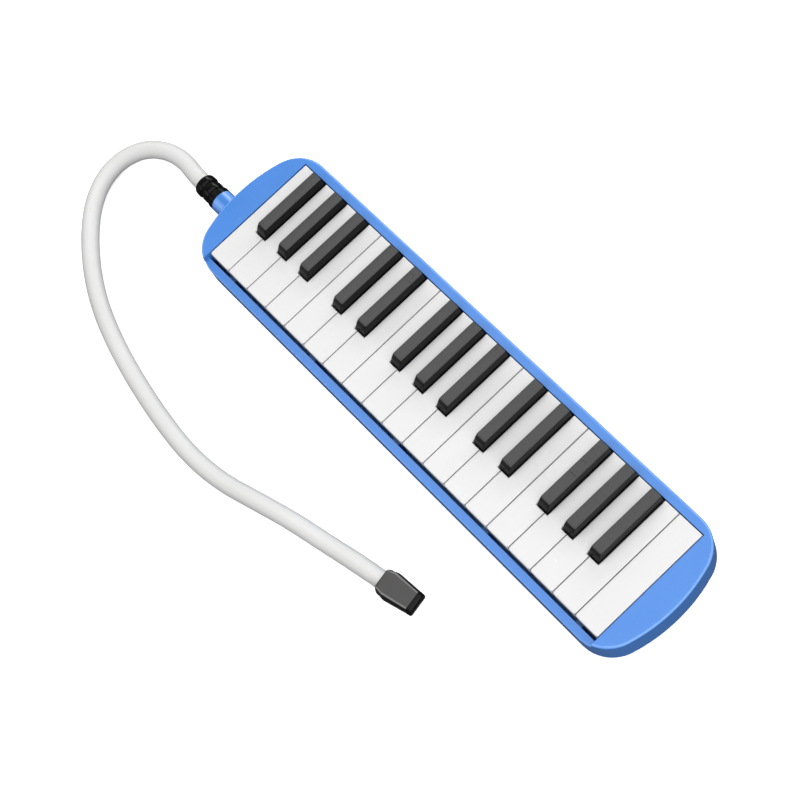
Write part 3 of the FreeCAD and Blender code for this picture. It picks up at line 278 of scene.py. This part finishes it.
def make_neck():
    """The inlet neck: a turned tube with a softly rounded mouth, whose root flares out in a
    quarter circle where it meets the end of the case, and a flange on its inner end. Places
    count from the mouth."""
    low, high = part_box("inlet_neck")
    back = high.x / MM - NECK_MOUTH
    flange = (high.z - low.z) / 2 / MM
    flare_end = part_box("upper_case")[0].x / MM + NECK_SINK - NECK_MOUTH
    flare_radius = NECK_RADIUS + NECK_FLARE
    flare = [(flare_end - NECK_FLARE * (1 - math.sin(t)), flare_radius - NECK_FLARE * math.cos(t))
             for t in np.linspace(0, math.pi / 2, 9)]
    profile = [
        (1.2, NECK_BORE), (0.4, NECK_BORE + 0.1), (0, NECK_BORE + 0.6), (0, NECK_RADIUS - 0.5),
        (0.25, NECK_RADIUS - 0.1), (0.7, NECK_RADIUS), *flare, (flare_end + 0.9, flare_radius),
        (flare_end + 0.9, NECK_RADIUS), (back - NECK_WALL, NECK_RADIUS), (back - NECK_WALL, flange),
        (back, flange), (back, NECK_BORE), (1.2, NECK_BORE),
    ]
    neck = turned("neck", NECK_MOUTH, rounded(profile, NECK_ROUNDING))
    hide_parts("inlet_neck")
    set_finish(neck, "case_blue")
    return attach(neck, "case")


# ---------------------------------------------------------------- mouthpiece
MOUTH_LENGTH = 26.4
MOUTH_LIP = 3.4
MOUTH_LEAN = 1.5
MOUTH_SHOULDER = 6.0
MOUTH_SOCKET = 7.0
MOUTH_HALF_WIDTHS = (8.25, 9.75, 7.75)
MOUTH_HEIGHTS = (13.4, 13.4, 7.6)
MOUTH_SQUARENESS = 9.0
MOUTH_WAIST = 0.25
MOUTH_GROOVES = (2.9, 1.9)
MOUTH_ROUNDING = 1.1
MOUTH_SLOT = (4.5, 1.2)
MOUTH_SLOT_DEPTH = 16
MOUTH_SLOT_SQUARENESS = 4.0
MOUTH_STEPS = 120
# Places along the mouthpiece where its painted highlight and painted sheen fade in and out.
PAINTED_BAND_PLACES = (0.1, 0.9, MOUTH_LENGTH - MOUTH_LIP, MOUTH_LENGTH - MOUTH_LIP + 0.45)


def mouth_station(place, inset):
    """Place along the mouthpiece, middle height, half width, half height and squareness of the
    outer skin there, drawn in by the inset."""
    knots = (0, MOUTH_SHOULDER, MOUTH_LENGTH)
    half = np.interp(place, knots, MOUTH_HALF_WIDTHS)
    height = np.interp(place, knots, MOUTH_HEIGHTS)
    return place, height / 2, half - inset, height / 2 - inset, MOUTH_SQUARENESS


def mouth_sections():
    """The mouthpiece's stations from deep in its round hose socket, out over the root face and
    its rim, to the shoulder, down past two grooves to the rounded lip, and back into the slot."""
    socket = HOSE_RADIUS - HOSE_SQUEEZE
    slot_half, slot_rise = MOUTH_SLOT
    tip_middle = MOUTH_HEIGHTS[-1] / 2
    body = [*np.linspace(1.9, MOUTH_SHOULDER - 0.4, 5),
            *np.linspace(MOUTH_SHOULDER + 0.3, MOUTH_LENGTH - MOUTH_LIP, 14)]
    rim = ((0, 1), (0.1, 0.55), (0.4, 0.2), (0.9, 0), (1.3, 0), (1.5, MOUTH_WAIST))
    groove = ((-0.35, 0.1), (-0.1, 0.1), (0.05, 0.6), (0.45, 0.6), (0.6, 0.1))
    sections = [
        (MOUTH_SOCKET, HOSE_LIE, socket, socket, 2.0), (0.2, HOSE_LIE, socket, socket, 2.0),
        (0, HOSE_LIE, socket + 0.15, socket - 0.1, 2.2),
    ]
    sections += [mouth_station(place, inset) for place, inset in rim]
    sections += [mouth_station(place, MOUTH_WAIST) for place in body]
    for from_tip in MOUTH_GROOVES:
        sections += [mouth_station(MOUTH_LENGTH - from_tip + step, inset) for step, inset in groove]
    for turn in np.linspace(0, math.pi / 2, 6):
        sections.append(mouth_station(MOUTH_LENGTH - MOUTH_ROUNDING * (1 - math.sin(turn)),
                                      0.1 + MOUTH_ROUNDING * (1 - math.cos(turn))))
    sections += [
        (MOUTH_LENGTH, tip_middle, slot_half + 0.3, slot_rise + 0.3, MOUTH_SLOT_SQUARENESS),
        (MOUTH_LENGTH - 0.3, tip_middle, slot_half, slot_rise, MOUTH_SLOT_SQUARENESS),
        (MOUTH_LENGTH - MOUTH_SLOT_DEPTH, tip_middle, slot_half, slot_rise, MOUTH_SLOT_SQUARENESS),
    ]
    return np.array(sections)


def make_mouthpiece():
    """A row of sections, each a superellipse: its width and height times the cosine and sine of
    an angle, to the power of two over the squareness. On the outer skin the sides lean in above
    the middle. The crown value stored on its points is the share of the half height there, and
    falls to none at the root face and the lip; the finish places a painted highlight line and a
    painted grey sheen on the top by it."""
    place, middle, half, rise, squareness = np.split(mouth_sections(), 5, axis=1)
    angle = np.linspace(0, 2 * math.pi, MOUTH_STEPS, endpoint=False)
    power = 2 / squareness
    side = half * np.sign(np.cos(angle)) * np.abs(np.cos(angle)) ** power
    height = np.sign(np.sin(angle)) * np.abs(np.sin(angle)) ** power
    crown = np.where(squareness == MOUTH_SQUARENESS, np.clip(height, 0, 1), 0)
    side = side * (1 - crown * MOUTH_LEAN / half)
    crown = crown * np.interp(place, PAINTED_BAND_PLACES, (0, 1, 1, 0))
    end, before = np.array(HOSE_ROUTE[-1]), np.array(HOSE_ROUTE[-2])
    heading = (end - before) / np.linalg.norm(end - before)
    root = end - heading * MOUTH_SOCKET
    x = root[0] + heading[0] * place - heading[1] * side
    y = root[1] + heading[1] * place + heading[0] * side
    grid = MM * np.stack([x, y, middle + rise * height], axis=-1)
    mouthpiece = surface("mouthpiece_shell", grid, capped=True)
    stored = mouthpiece.data.attributes.new("crown", "FLOAT", "POINT")
    stored.data.foreach_set("value", crown.ravel())
    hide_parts("mouthpiece")
    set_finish(mouthpiece, "mouth_black")
    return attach(mouthpiece, "hose")


# ---------------------------------------------------------------- black keys
WHITE_TOP = 30.0
BLACK_TOP = 38.0
BLACK_SKIRT = 22.0
BLACK_NARROWING = 0.7
BLACK_EDGE = 0.65
BLACK_TAIL_GAP = 1.1
BLACK_WALL = 1.2
BLACK_DOME = (0.08, 0.3)
# Heights on a black key between which its painted sheen sets in.
BLACK_PAINTED_SHEEN = (36.9, 37.4)
FRONT_PLACES = (0.0, 1.8, 4.1)
FRONT_HEIGHTS = (30.0, 34.5, 38.0)
FRONT_BEND = 0.45
FRONT_FOOT = 0.5
HOLLOW_START = 0.01
HOLLOW_LEAST = 0.02


def black_key_stations(length):
    """Places along a black key, close together at the round front corners, at the two bends of
    the front, and where the hollow starts and stops at the end walls."""
    turn = np.linspace(0, math.pi / 2, 6)
    corner = BLACK_EDGE * (1 - np.cos(turn))
    low_bend = FRONT_PLACES[1] + np.linspace(-0.3, 0.3, 5)
    high_bend = FRONT_PLACES[2] + np.linspace(-0.7, 0.9, 14)
    run = np.linspace(FRONT_PLACES[2] + 1.2, length, 12)
    walls = (BLACK_WALL, BLACK_WALL + HOLLOW_START, length - BLACK_WALL - HOLLOW_START, length - BLACK_WALL)
    return np.unique(np.concatenate([corner, low_bend, high_bend, run, walls]))[:, None]


def black_key_top(place):
    """Height of a black key's top along it: straight slopes between the front's points,
    averaged over a short reach so that the bends are round, but straight at the foot."""
    offsets = np.linspace(-FRONT_BEND, FRONT_BEND, 9)
    soft = np.mean([np.interp(place + offset, FRONT_PLACES, FRONT_HEIGHTS) for offset in offsets], axis=0)
    return np.where(place < FRONT_FOOT, np.interp(place, FRONT_PLACES, FRONT_HEIGHTS), soft)


def make_black_key(node):
    """The hollow skin of a black key, open below. Each section across it is an upside-down U:
    upright skirts, sides that lean in above the white keys, quarter-circle edges, and a top that
    rises to the middle as a parabola, more so towards the back. A second U inside leaves a
    wall, and is next to flat within the end walls. The front leans back in two slopes."""
    low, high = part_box(node)
    middle, half = (low.x + high.x) / 2 / MM, (high.x - low.x) / 2 / MM
    front, back = low.y / MM, high.y / MM - BLACK_TAIL_GAP
    place = black_key_stations(back - front)
    length = place[-1]
    top = black_key_top(place)
    dome = np.interp(place, (0, length[0]), BLACK_DOME)
    near = np.clip(BLACK_EDGE - place, 0, BLACK_EDGE)
    base = half - BLACK_EDGE + np.sqrt(BLACK_EDGE ** 2 - near ** 2)
    above = np.clip(top - BLACK_EDGE, WHITE_TOP, None) - WHITE_TOP
    flat = base - BLACK_NARROWING * above / (BLACK_TOP - WHITE_TOP) - BLACK_EDGE
    turn = np.linspace(0, math.pi / 2, 6)
    edge_side = flat + BLACK_EDGE * np.cos(turn)
    edge_rise = top - dome - BLACK_EDGE * (1 - np.sin(turn))
    share = np.linspace(-1, 1, 11)[1:-1]
    shoulder = np.minimum(WHITE_TOP, top - BLACK_EDGE)
    bottom = np.full_like(place, BLACK_SKIRT)
    hollow = (place > BLACK_WALL) & (place < length - BLACK_WALL)
    roof = np.where(hollow, top - dome - BLACK_WALL, BLACK_SKIRT + HOLLOW_LEAST)
    inner = base - BLACK_WALL
    side = np.hstack([-base, -base, -edge_side, flat * share, edge_side[:, ::-1], base, base,
                      inner, inner - BLACK_NARROWING, BLACK_NARROWING - inner, -inner])
    rise = np.hstack([bottom, shoulder, edge_rise, top - dome * share ** 2, edge_rise[:, ::-1],
                      shoulder, bottom, bottom, roof, roof, bottom])
    along = np.broadcast_to(front + place, side.shape)
    key = surface(node + "_skin", MM * np.stack([middle + side, along, rise], axis=-1), capped=True)
    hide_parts(node)
    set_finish(key, "black_key")
    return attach(key, BODY_OF[node])


cuff = make_cuff()
neck = make_neck()
black_keys = [make_black_key(node) for node, slot in SLOT_OF.items() if slot == "black_key"]
mouthpiece = make_mouthpiece()
hose = make_hose()


# ---------------------------------------------------------------- shared effects
def new_group(name, inputs, outputs):
    """An empty shader group with named number or vector inputs and named number outputs."""
    group = bpy.data.node_groups.new(name, "ShaderNodeTree")
    for label, kind, value in inputs:
        socket = group.interface.new_socket(label, in_out="INPUT", socket_type=kind)
        if value is not None:
            socket.default_value = value
    for label in outputs:
        group.interface.new_socket(label, in_out="OUTPUT", socket_type="NodeSocketFloat")
    return group, group.nodes.new("NodeGroupInput"), group.nodes.new("NodeGroupOutput")


def noise_in(group, entry, detail):
    """A noise whose place and scale come from the group's first two inputs."""
    noise = group.nodes.new("ShaderNodeTexNoise")
    noise.inputs["Detail"].default_value = detail
    group.links.new(entry.outputs["Vector"], noise.inputs["Vector"])
    group.links.new(entry.outputs["Scale"], noise.inputs["Scale"])
    return noise


def ranged(tree, value, low, high):
    """A number stretched from the given range to 0..1 and kept inside it."""
    spread = tree.nodes.new("ShaderNodeMapRange")
    spread.inputs["From Min"].default_value = low
    spread.inputs["From Max"].default_value = high
    tree.links.new(value, spread.inputs["Value"])
    return spread.outputs["Result"]


def product(tree, first, second):
    """Two numbers multiplied."""
    times = tree.nodes.new("ShaderNodeMath")
    times.operation = "MULTIPLY"
    tree.links.new(first, times.inputs[0])
    tree.links.new(second, times.inputs[1])
    return times.outputs["Value"]


def upright(tree, vector):
    """The upright part of a vector."""
    split = tree.nodes.new("ShaderNodeSeparateXYZ")
    tree.links.new(vector, split.inputs["Vector"])
    return split.outputs["Z"]


def make_grain_group():
    """Moulded grain: the height of a fine noise, with its contrast raised."""
    group, entry, leave = new_group("moulded_grain", [
        ("Vector", "NodeSocketVector", None), ("Scale", "NodeSocketFloat", 900.0)], ["Height"])
    noise = noise_in(group, entry, 3.0)
    group.links.new(ranged(group, noise.outputs["Fac"], 0.3, 0.7), leave.inputs["Height"])
    return group


def make_handling_group():
    """Handling: wide soft patches where fingers have dulled or polished the surface."""
    group, entry, leave = new_group("handling", [
        ("Vector", "NodeSocketVector", None), ("Scale", "NodeSocketFloat", 22.0),
        ("Low", "NodeSocketFloat", 0.2), ("High", "NodeSocketFloat", 0.3)], ["Roughness", "Patch"])
    noise = noise_in(group, entry, 5.0)
    patch = ranged(group, noise.outputs["Fac"], 0.32, 0.68)
    spread = group.nodes.new("ShaderNodeMapRange")
    group.links.new(patch, spread.inputs["Value"])
    group.links.new(entry.outputs["Low"], spread.inputs["To Min"])
    group.links.new(entry.outputs["High"], spread.inputs["To Max"])
    group.links.new(spread.outputs["Result"], leave.inputs["Roughness"])
    group.links.new(patch, leave.inputs["Patch"])
    return group


def make_scuff_group():
    """Scuffs: a noise stretched along X into hairlines, thinned out by a wide noise."""
    group, entry, leave = new_group("scuffs", [
        ("Vector", "NodeSocketVector", None), ("Scale", "NodeSocketFloat", 60.0)], ["Mask"])
    stretch = group.nodes.new("ShaderNodeMapping")
    stretch.inputs["Scale"].default_value = (0.6, 14.0, 14.0)
    stretch.inputs["Rotation"].default_value = (0.0, 0.0, 0.35)
    group.links.new(entry.outputs["Vector"], stretch.inputs["Vector"])
    lines = group.nodes.new("ShaderNodeTexNoise")
    lines.inputs["Detail"].default_value = 2.0
    group.links.new(stretch.outputs["Vector"], lines.inputs["Vector"])
    group.links.new(entry.outputs["Scale"], lines.inputs["Scale"])
    wide = group.nodes.new("ShaderNodeTexNoise")
    wide.inputs["Scale"].default_value = 30.0
    group.links.new(entry.outputs["Vector"], wide.inputs["Vector"])
    hairlines = ranged(group, lines.outputs["Fac"], 0.62, 0.72)
    patches = ranged(group, wide.outputs["Fac"], 0.5, 0.65)
    group.links.new(product(group, hairlines, patches), leave.inputs["Mask"])
    return group


def make_dust_group():
    """Dust: small round specks from a cell pattern, only on what faces up."""
    group, entry, leave = new_group("dust", [
        ("Vector", "NodeSocketVector", None), ("Scale", "NodeSocketFloat", 350.0),
        ("Normal", "NodeSocketVector", None)], ["Mask"])
    cells = group.nodes.new("ShaderNodeTexVoronoi")
    group.links.new(entry.outputs["Vector"], cells.inputs["Vector"])
    group.links.new(entry.outputs["Scale"], cells.inputs["Scale"])
    specks = ranged(group, cells.outputs["Distance"], 0.16, 0.06)
    upward = ranged(group, upright(group, entry.outputs["Normal"]), 0.6, 0.95)
    group.links.new(product(group, specks, upward), leave.inputs["Mask"])
    return group


def make_painted_sheen_step_group():
    """Crown for a painted sheen: none below one height of the piece, all above another, with a smooth step
    between.
    """
    group, entry, leave = new_group("crown", [
        ("Vector", "NodeSocketVector", None), ("Low", "NodeSocketFloat", 0.0),
        ("High", "NodeSocketFloat", 0.001)], ["Share"])
    step = group.nodes.new("ShaderNodeMapRange")
    step.interpolation_type = "SMOOTHSTEP"
    group.links.new(upright(group, entry.outputs["Vector"]), step.inputs["Value"])
    group.links.new(entry.outputs["Low"], step.inputs["From Min"])
    group.links.new(entry.outputs["High"], step.inputs["From Max"])
    group.links.new(step.outputs["Result"], leave.inputs["Share"])
    return group


def make_painted_edge_highlight_group():
    """Painted edge highlight: a mask where the surface turns from the top to a side, thinned a little by a
    wide noise.
    """
    group, entry, leave = new_group("edges", [
        ("Vector", "NodeSocketVector", None), ("Scale", "NodeSocketFloat", 30.0),
        ("Normal", "NodeSocketVector", None)], ["Mask"])
    highlight_breakup = ranged(group, noise_in(group, entry, 2.0).outputs["Fac"], 0.1, 0.42)
    facing_up = upright(group, entry.outputs["Normal"])
    not_top = ranged(group, facing_up, 0.992, 0.94)
    not_side = ranged(group, facing_up, 0.35, 0.7)
    edge = product(group, not_top, not_side)
    group.links.new(product(group, highlight_breakup, edge), leave.inputs["Mask"])
    return group


GRAIN = make_grain_group()
HANDLING = make_handling_group()
SCUFFS = make_scuff_group()
DUST = make_dust_group()
PAINTED_SHEEN_STEP = make_painted_sheen_step_group()
PAINTED_EDGE_HIGHLIGHT = make_painted_edge_highlight_group()


# ---------------------------------------------------------------- finishes
class Finish:
    """A material in the making: its node tree, its shader, and the place of each surface point."""

    def __init__(self, name):
        self.material = bpy.data.materials.new(name)
        self.material.use_nodes = True
        self.tree = self.material.node_tree
        self.shader = self.tree.nodes["Principled BSDF"]
        self.place = self.tree.nodes.new("ShaderNodeTexCoord").outputs["Object"]

    def join(self, out, into):
        """A link from one socket to another."""
        self.tree.links.new(out, into)

    def effect(self, group, **values):
        """One of the shared groups, placed on the piece's own coordinates with its own values."""
        node = self.tree.nodes.new("ShaderNodeGroup")
        node.node_tree = group
        self.join(self.place, node.inputs["Vector"])
        if "Normal" in node.inputs:
            facing = self.tree.nodes.new("ShaderNodeNewGeometry").outputs["Normal"]
            self.join(facing, node.inputs["Normal"])
        for label, value in values.items():
            node.inputs[label.capitalize()].default_value = value
        return node

    def mix(self, share, first, second):
        """A colour between two colours or colour outputs."""
        node = self.tree.nodes.new("ShaderNodeMix")
        node.data_type = "RGBA"
        self.join(share, node.inputs["Factor"])
        for socket, value in ((node.inputs[6], first), (node.inputs[7], second)):
            if isinstance(value, tuple):
                socket.default_value = (*value, 1)
            else:
                self.join(value, socket)
        return node.outputs[2]

    def bump(self, height, strength, distance):
        """Fine relief, as a share of a depth in metres."""
        node = self.tree.nodes.new("ShaderNodeBump")
        node.inputs["Strength"].default_value = strength
        node.inputs["Distance"].default_value = distance
        self.join(height, node.inputs["Height"])
        self.join(node.outputs["Normal"], self.shader.inputs["Normal"])

    def set(self, **values):
        """Plain numbers on the shader's own sockets; an underscore stands for a space."""
        for label, value in values.items():
            self.shader.inputs[label.replace("_", " ")].default_value = value


def moulded(name, deep, light, rough, grain_scale, grain_depth, scuff_colour=None, dust_colour=None,
             crown=None, painted_highlight_bands=None, edge_highlight_colour=None, **extra):
    """A moulded plastic: two close tones in wide patches, fine grain, and, where they are
    given, a painted sheen of another tone on the crown above a step in height, painted highlight
    tones that set in as the crown value stored on the points rises, painted edge highlights,
    hairline scuffs and dust."""
    finish = Finish(name)
    handled = finish.effect(HANDLING, scale=22.0, low=rough[0], high=rough[1])
    grain = finish.effect(GRAIN, scale=grain_scale)
    colour = finish.mix(handled.outputs["Patch"], deep, light)
    # A painted sheen: a lighter tone above a step in height.
    if crown:
        low, high, tone = crown
        colour = finish.mix(finish.effect(PAINTED_SHEEN_STEP, low=low, high=high).outputs["Share"], colour, tone)
    # Painted highlight and painted sheen tones, set by the stored crown value.
    if painted_highlight_bands:
        stored = finish.tree.nodes.new("ShaderNodeAttribute")
        stored.attribute_name = "crown"
        for low, high, tone in painted_highlight_bands:
            colour = finish.mix(ranged(finish.tree, stored.outputs["Fac"], low, high), colour, tone)
    # A painted highlight along the rounded edges.
    if edge_highlight_colour:
        colour = finish.mix(finish.effect(PAINTED_EDGE_HIGHLIGHT, scale=30.0).outputs["Mask"], colour, edge_highlight_colour)
    if scuff_colour:
        colour = finish.mix(finish.effect(SCUFFS, scale=60.0).outputs["Mask"], colour, scuff_colour)
    if dust_colour:
        colour = finish.mix(finish.effect(DUST, scale=420.0).outputs["Mask"], colour, dust_colour)
    finish.join(colour, finish.shader.inputs["Base Color"])
    finish.join(handled.outputs["Roughness"], finish.shader.inputs["Roughness"])
    finish.bump(grain.outputs["Height"], 0.35, grain_depth)
    finish.set(**extra)
    return finish.material


def case_blue():
    """Glossy mid-blue plastic, with a painted highlight where its top turns over into its sides."""
    return moulded("case_blue", (0.049, 0.200, 0.590), (0.058, 0.214, 0.615), (0.18, 0.26), 1500, 6e-6,
                   scuff_colour=(0.072, 0.225, 0.62), dust_colour=(0.08, 0.23, 0.62),
                   # A lighter blue painted along the rounded edges as a highlight.
                   edge_highlight_colour=(0.16, 0.36, 0.82), IOR=1.5)


def white_key():
    """White plastic, glossier in wide patches."""
    return moulded("white_key", (0.625, 0.623, 0.625), (0.65, 0.647, 0.647), (0.16, 0.28), 1200, 4e-6,
                   scuff_colour=(0.61, 0.605, 0.60), dust_colour=(0.60, 0.595, 0.59), IOR=1.5)


def black_key():
    """Deep black plastic, with a painted dark grey sheen on its crown in place of the reflection of the
    light overhead.
    """
    return moulded("black_key", (0.003, 0.003, 0.003), (0.005, 0.005, 0.005), (0.16, 0.24), 1400, 4e-6,
                   scuff_colour=(0.03, 0.03, 0.031), dust_colour=(0.04, 0.04, 0.04),
                   # The crown's dark grey is a painted sheen, not the plastic's own colour.
                   crown=(*(MM * c for c in BLACK_PAINTED_SHEEN), (0.070, 0.070, 0.071)),
                   IOR=1.5, Specular_IOR_Level=0.08)


def chest_plastic():
    """Dark grey-blue plastic of the inner wind chest, matt from its mould."""
    return moulded("chest_plastic", (0.05, 0.055, 0.065), (0.075, 0.08, 0.09), (0.42, 0.56), 900, 1.2e-5,
                   scuff_colour=(0.12, 0.12, 0.13))


def cuff_black():
    """Hard, polished black plastic."""
    return moulded("cuff_black", (0.002, 0.002, 0.002), (0.003, 0.003, 0.003), (0.14, 0.2), 1800, 3e-6,
                   scuff_colour=(0.012, 0.012, 0.012), IOR=1.5, Specular_IOR_Level=0.14)


def drain_black():
    """The drain button's matt black plastic."""
    return moulded("drain_black", (0.012, 0.012, 0.012), (0.022, 0.022, 0.022), (0.35, 0.48), 1200, 8e-6,
                   scuff_colour=(0.06, 0.06, 0.06))


def mouth_black():
    """Black satin plastic with a painted grey sheen on its crown, and a painted highlight line where the
    crown starts.
    """
    return moulded("mouth_black", (0.003, 0.003, 0.003), (0.005, 0.005, 0.005), (0.24, 0.34), 1100, 9e-6,
                   # A painted highlight line, then a painted grey sheen on the top.
                   painted_highlight_bands=((0.82, 0.88, (0.18, 0.18, 0.178)), (0.955, 0.985, (0.062, 0.060, 0.059))),
                   scuff_colour=(0.05, 0.05, 0.05), IOR=1.5, Specular_IOR_Level=0.2)


def hose_white():
    """Milky soft tube: two close whites in wide patches, fine grain, and dust on top."""
    finish = Finish("hose_white")
    handled = finish.effect(HANDLING, scale=14.0, low=0.3, high=0.42)
    grain = finish.effect(GRAIN, scale=700.0)
    colour = finish.mix(handled.outputs["Patch"], (0.60, 0.60, 0.59), (0.64, 0.64, 0.635))
    dust = finish.effect(DUST, scale=300.0)
    colour = finish.mix(dust.outputs["Mask"], colour, (0.55, 0.545, 0.53))
    finish.join(colour, finish.shader.inputs["Base Color"])
    finish.join(handled.outputs["Roughness"], finish.shader.inputs["Roughness"])
    finish.bump(grain.outputs["Height"], 0.4, 1.5e-5)
    finish.set(IOR=1.45)
    return finish.material


def soft_rubber():
    """Grey-black rubber of the seals."""
    return moulded("soft_rubber", (0.03, 0.03, 0.03), (0.05, 0.048, 0.046), (0.6, 0.75), 600, 2e-5)


def felt():
    """Grey-green felt: matted fibres from two noises, with a soft sheen."""
    finish = Finish("felt")
    fibres = finish.effect(GRAIN, scale=1600.0)
    patch = finish.effect(HANDLING, scale=160.0, low=0.9, high=1.0)
    colour = finish.mix(patch.outputs["Patch"], (0.10, 0.15, 0.11), (0.17, 0.23, 0.17))
    colour = finish.mix(fibres.outputs["Height"], colour, (0.20, 0.26, 0.20))
    finish.join(colour, finish.shader.inputs["Base Color"])
    finish.join(patch.outputs["Roughness"], finish.shader.inputs["Roughness"])
    finish.bump(fibres.outputs["Height"], 0.8, 2.5e-4)
    finish.set(Sheen_Weight=0.4)
    return finish.material


def metal(name, deep, light, rough):
    """A drawn or rolled metal: hairlines along X in its tone and height."""
    finish = Finish(name)
    patch = finish.effect(HANDLING, scale=60.0, low=rough[0], high=rough[1])
    lines = finish.effect(SCUFFS, scale=120.0)
    colour = finish.mix(patch.outputs["Patch"], deep, light)
    colour = finish.mix(lines.outputs["Mask"], colour, tuple(c * 0.7 for c in deep))
    finish.join(colour, finish.shader.inputs["Base Color"])
    finish.join(patch.outputs["Roughness"], finish.shader.inputs["Roughness"])
    finish.bump(lines.outputs["Mask"], 0.3, 1e-5)
    finish.set(Metallic=1.0)
    return finish.material


def reed_brass():
    """Yellow rolled brass."""
    return metal("reed_brass", (0.62, 0.42, 0.17), (0.80, 0.58, 0.26), (0.22, 0.38))


def steel():
    """Bright drawn steel."""
    return metal("steel", (0.46, 0.47, 0.49), (0.60, 0.61, 0.62), (0.2, 0.36))


FINISHES = {make.__name__: make() for make in (
    case_blue, white_key, black_key, chest_plastic, reed_brass, steel, felt, soft_rubber,
    drain_black, cuff_black, hose_white, mouth_black)}


def give_finish(piece, slot):
    """One finish on every face of a piece."""
    if not piece.material_slots:
        piece.data.materials.append(FINISHES[slot])
    for place in piece.material_slots:
        place.material = FINISHES[slot]


for node, piece in NODES.items():
    give_finish(piece, SLOT_OF[node])
for piece in (hose, cuff, neck, mouthpiece, *black_keys):
    give_finish(piece, piece["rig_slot"])


# ---------------------------------------------------------------- floor and light
SKY_TOP, SKY_EDGE, SKY_BELOW = 0.4, 0.2, 0.1
HORIZON_BAND = 0.1
FLOOR_HALF = 12
FLOOR_CLEAR = 2e-4
PAPER_GLOW = 0.55


def make_floor():
    """A wide plain paper floor that glows a little, just clear of the object. It throws no light
    back up, as on a low shooting table."""
    corners = [(FLOOR_HALF * x, FLOOR_HALF * y, 0) for x, y in ((-1, -1), (1, -1), (1, 1), (-1, 1))]
    mesh = bpy.data.meshes.new("floor")
    mesh.from_pydata(corners, [], [(0, 1, 2, 3)])
    floor = bpy.data.objects.new("floor", mesh)
    bpy.context.scene.collection.objects.link(floor)
    paper = Finish("floor_paper")
    fibres = paper.effect(HANDLING, scale=9.0, low=0.8, high=0.9)
    paper.join(paper.mix(fibres.outputs["Patch"], (0.93, 0.93, 0.93), (0.95, 0.95, 0.95)),
               paper.shader.inputs["Base Color"])
    paper.join(fibres.outputs["Roughness"], paper.shader.inputs["Roughness"])
    paper.set(Specular_IOR_Level=0.0, Emission_Color=(1, 1, 1, 1), Emission_Strength=PAPER_GLOW)
    floor.data.materials.append(paper.material)
    floor.location.z = -FLOOR_CLEAR
    floor.visible_diffuse = False
    floor.visible_glossy = False


def make_sky():
    """A white sky, brightest overhead, that falls off to the horizon and again just below it."""
    world = bpy.data.worlds.new("world")
    world.use_nodes = True
    nodes, links = world.node_tree.nodes, world.node_tree.links
    height = upright(world.node_tree, nodes.new("ShaderNodeTexCoord").outputs["Generated"])
    above = nodes.new("ShaderNodeMapRange")
    above.inputs["To Min"].default_value = SKY_EDGE
    above.inputs["To Max"].default_value = SKY_TOP
    links.new(height, above.inputs["Value"])
    below = nodes.new("ShaderNodeMapRange")
    below.inputs["From Min"].default_value = -HORIZON_BAND
    below.inputs["From Max"].default_value = 0.0
    below.inputs["To Min"].default_value = SKY_BELOW / SKY_EDGE
    links.new(height, below.inputs["Value"])
    strength = product(world.node_tree, above.outputs["Result"], below.outputs["Result"])
    links.new(strength, nodes["Background"].inputs["Strength"])
    nodes["Background"].inputs["Color"].default_value = (1, 1, 1, 1)
    bpy.context.scene.world = world


def make_panel(name, place, aim, width, height, power):
    """A soft rectangular light that faces its aim."""
    data = bpy.data.lights.new(name, "AREA")
    data.shape = "RECTANGLE"
    data.size = width
    data.size_y = height
    data.energy = power
    panel = bpy.data.objects.new(name, data)
    bpy.context.scene.collection.objects.link(panel)
    panel.location = place
    panel.rotation_mode = "QUATERNION"
    panel.rotation_quaternion = (Vector(aim) - Vector(place)).to_track_quat("-Z", "Y")


make_floor()
make_sky()
make_panel("overhead", (0.12, 0.1, 1.2), (0.12, 0.1, 0), 1.95, 1.9, 16.9)
make_panel("front", (-0.2, -1.1, 0.62), (0, 0, 0), 1.8, 0.3, 4.0)
make_panel("left", (-1.2, 0.1, 0.6), (-0.1, 0, 0), 0.8, 0.3, 1.5)
make_panel("right", (1.35, -0.1, 0.45), (0.1, 0, 0), 1.6, 0.35, 8.5)
make_panel("back", (-0.5, 1.2, 0.55), (0, 0, 0), 1.8, 0.35, 10.0)
bpy.context.scene.view_settings.view_transform = "Standard"
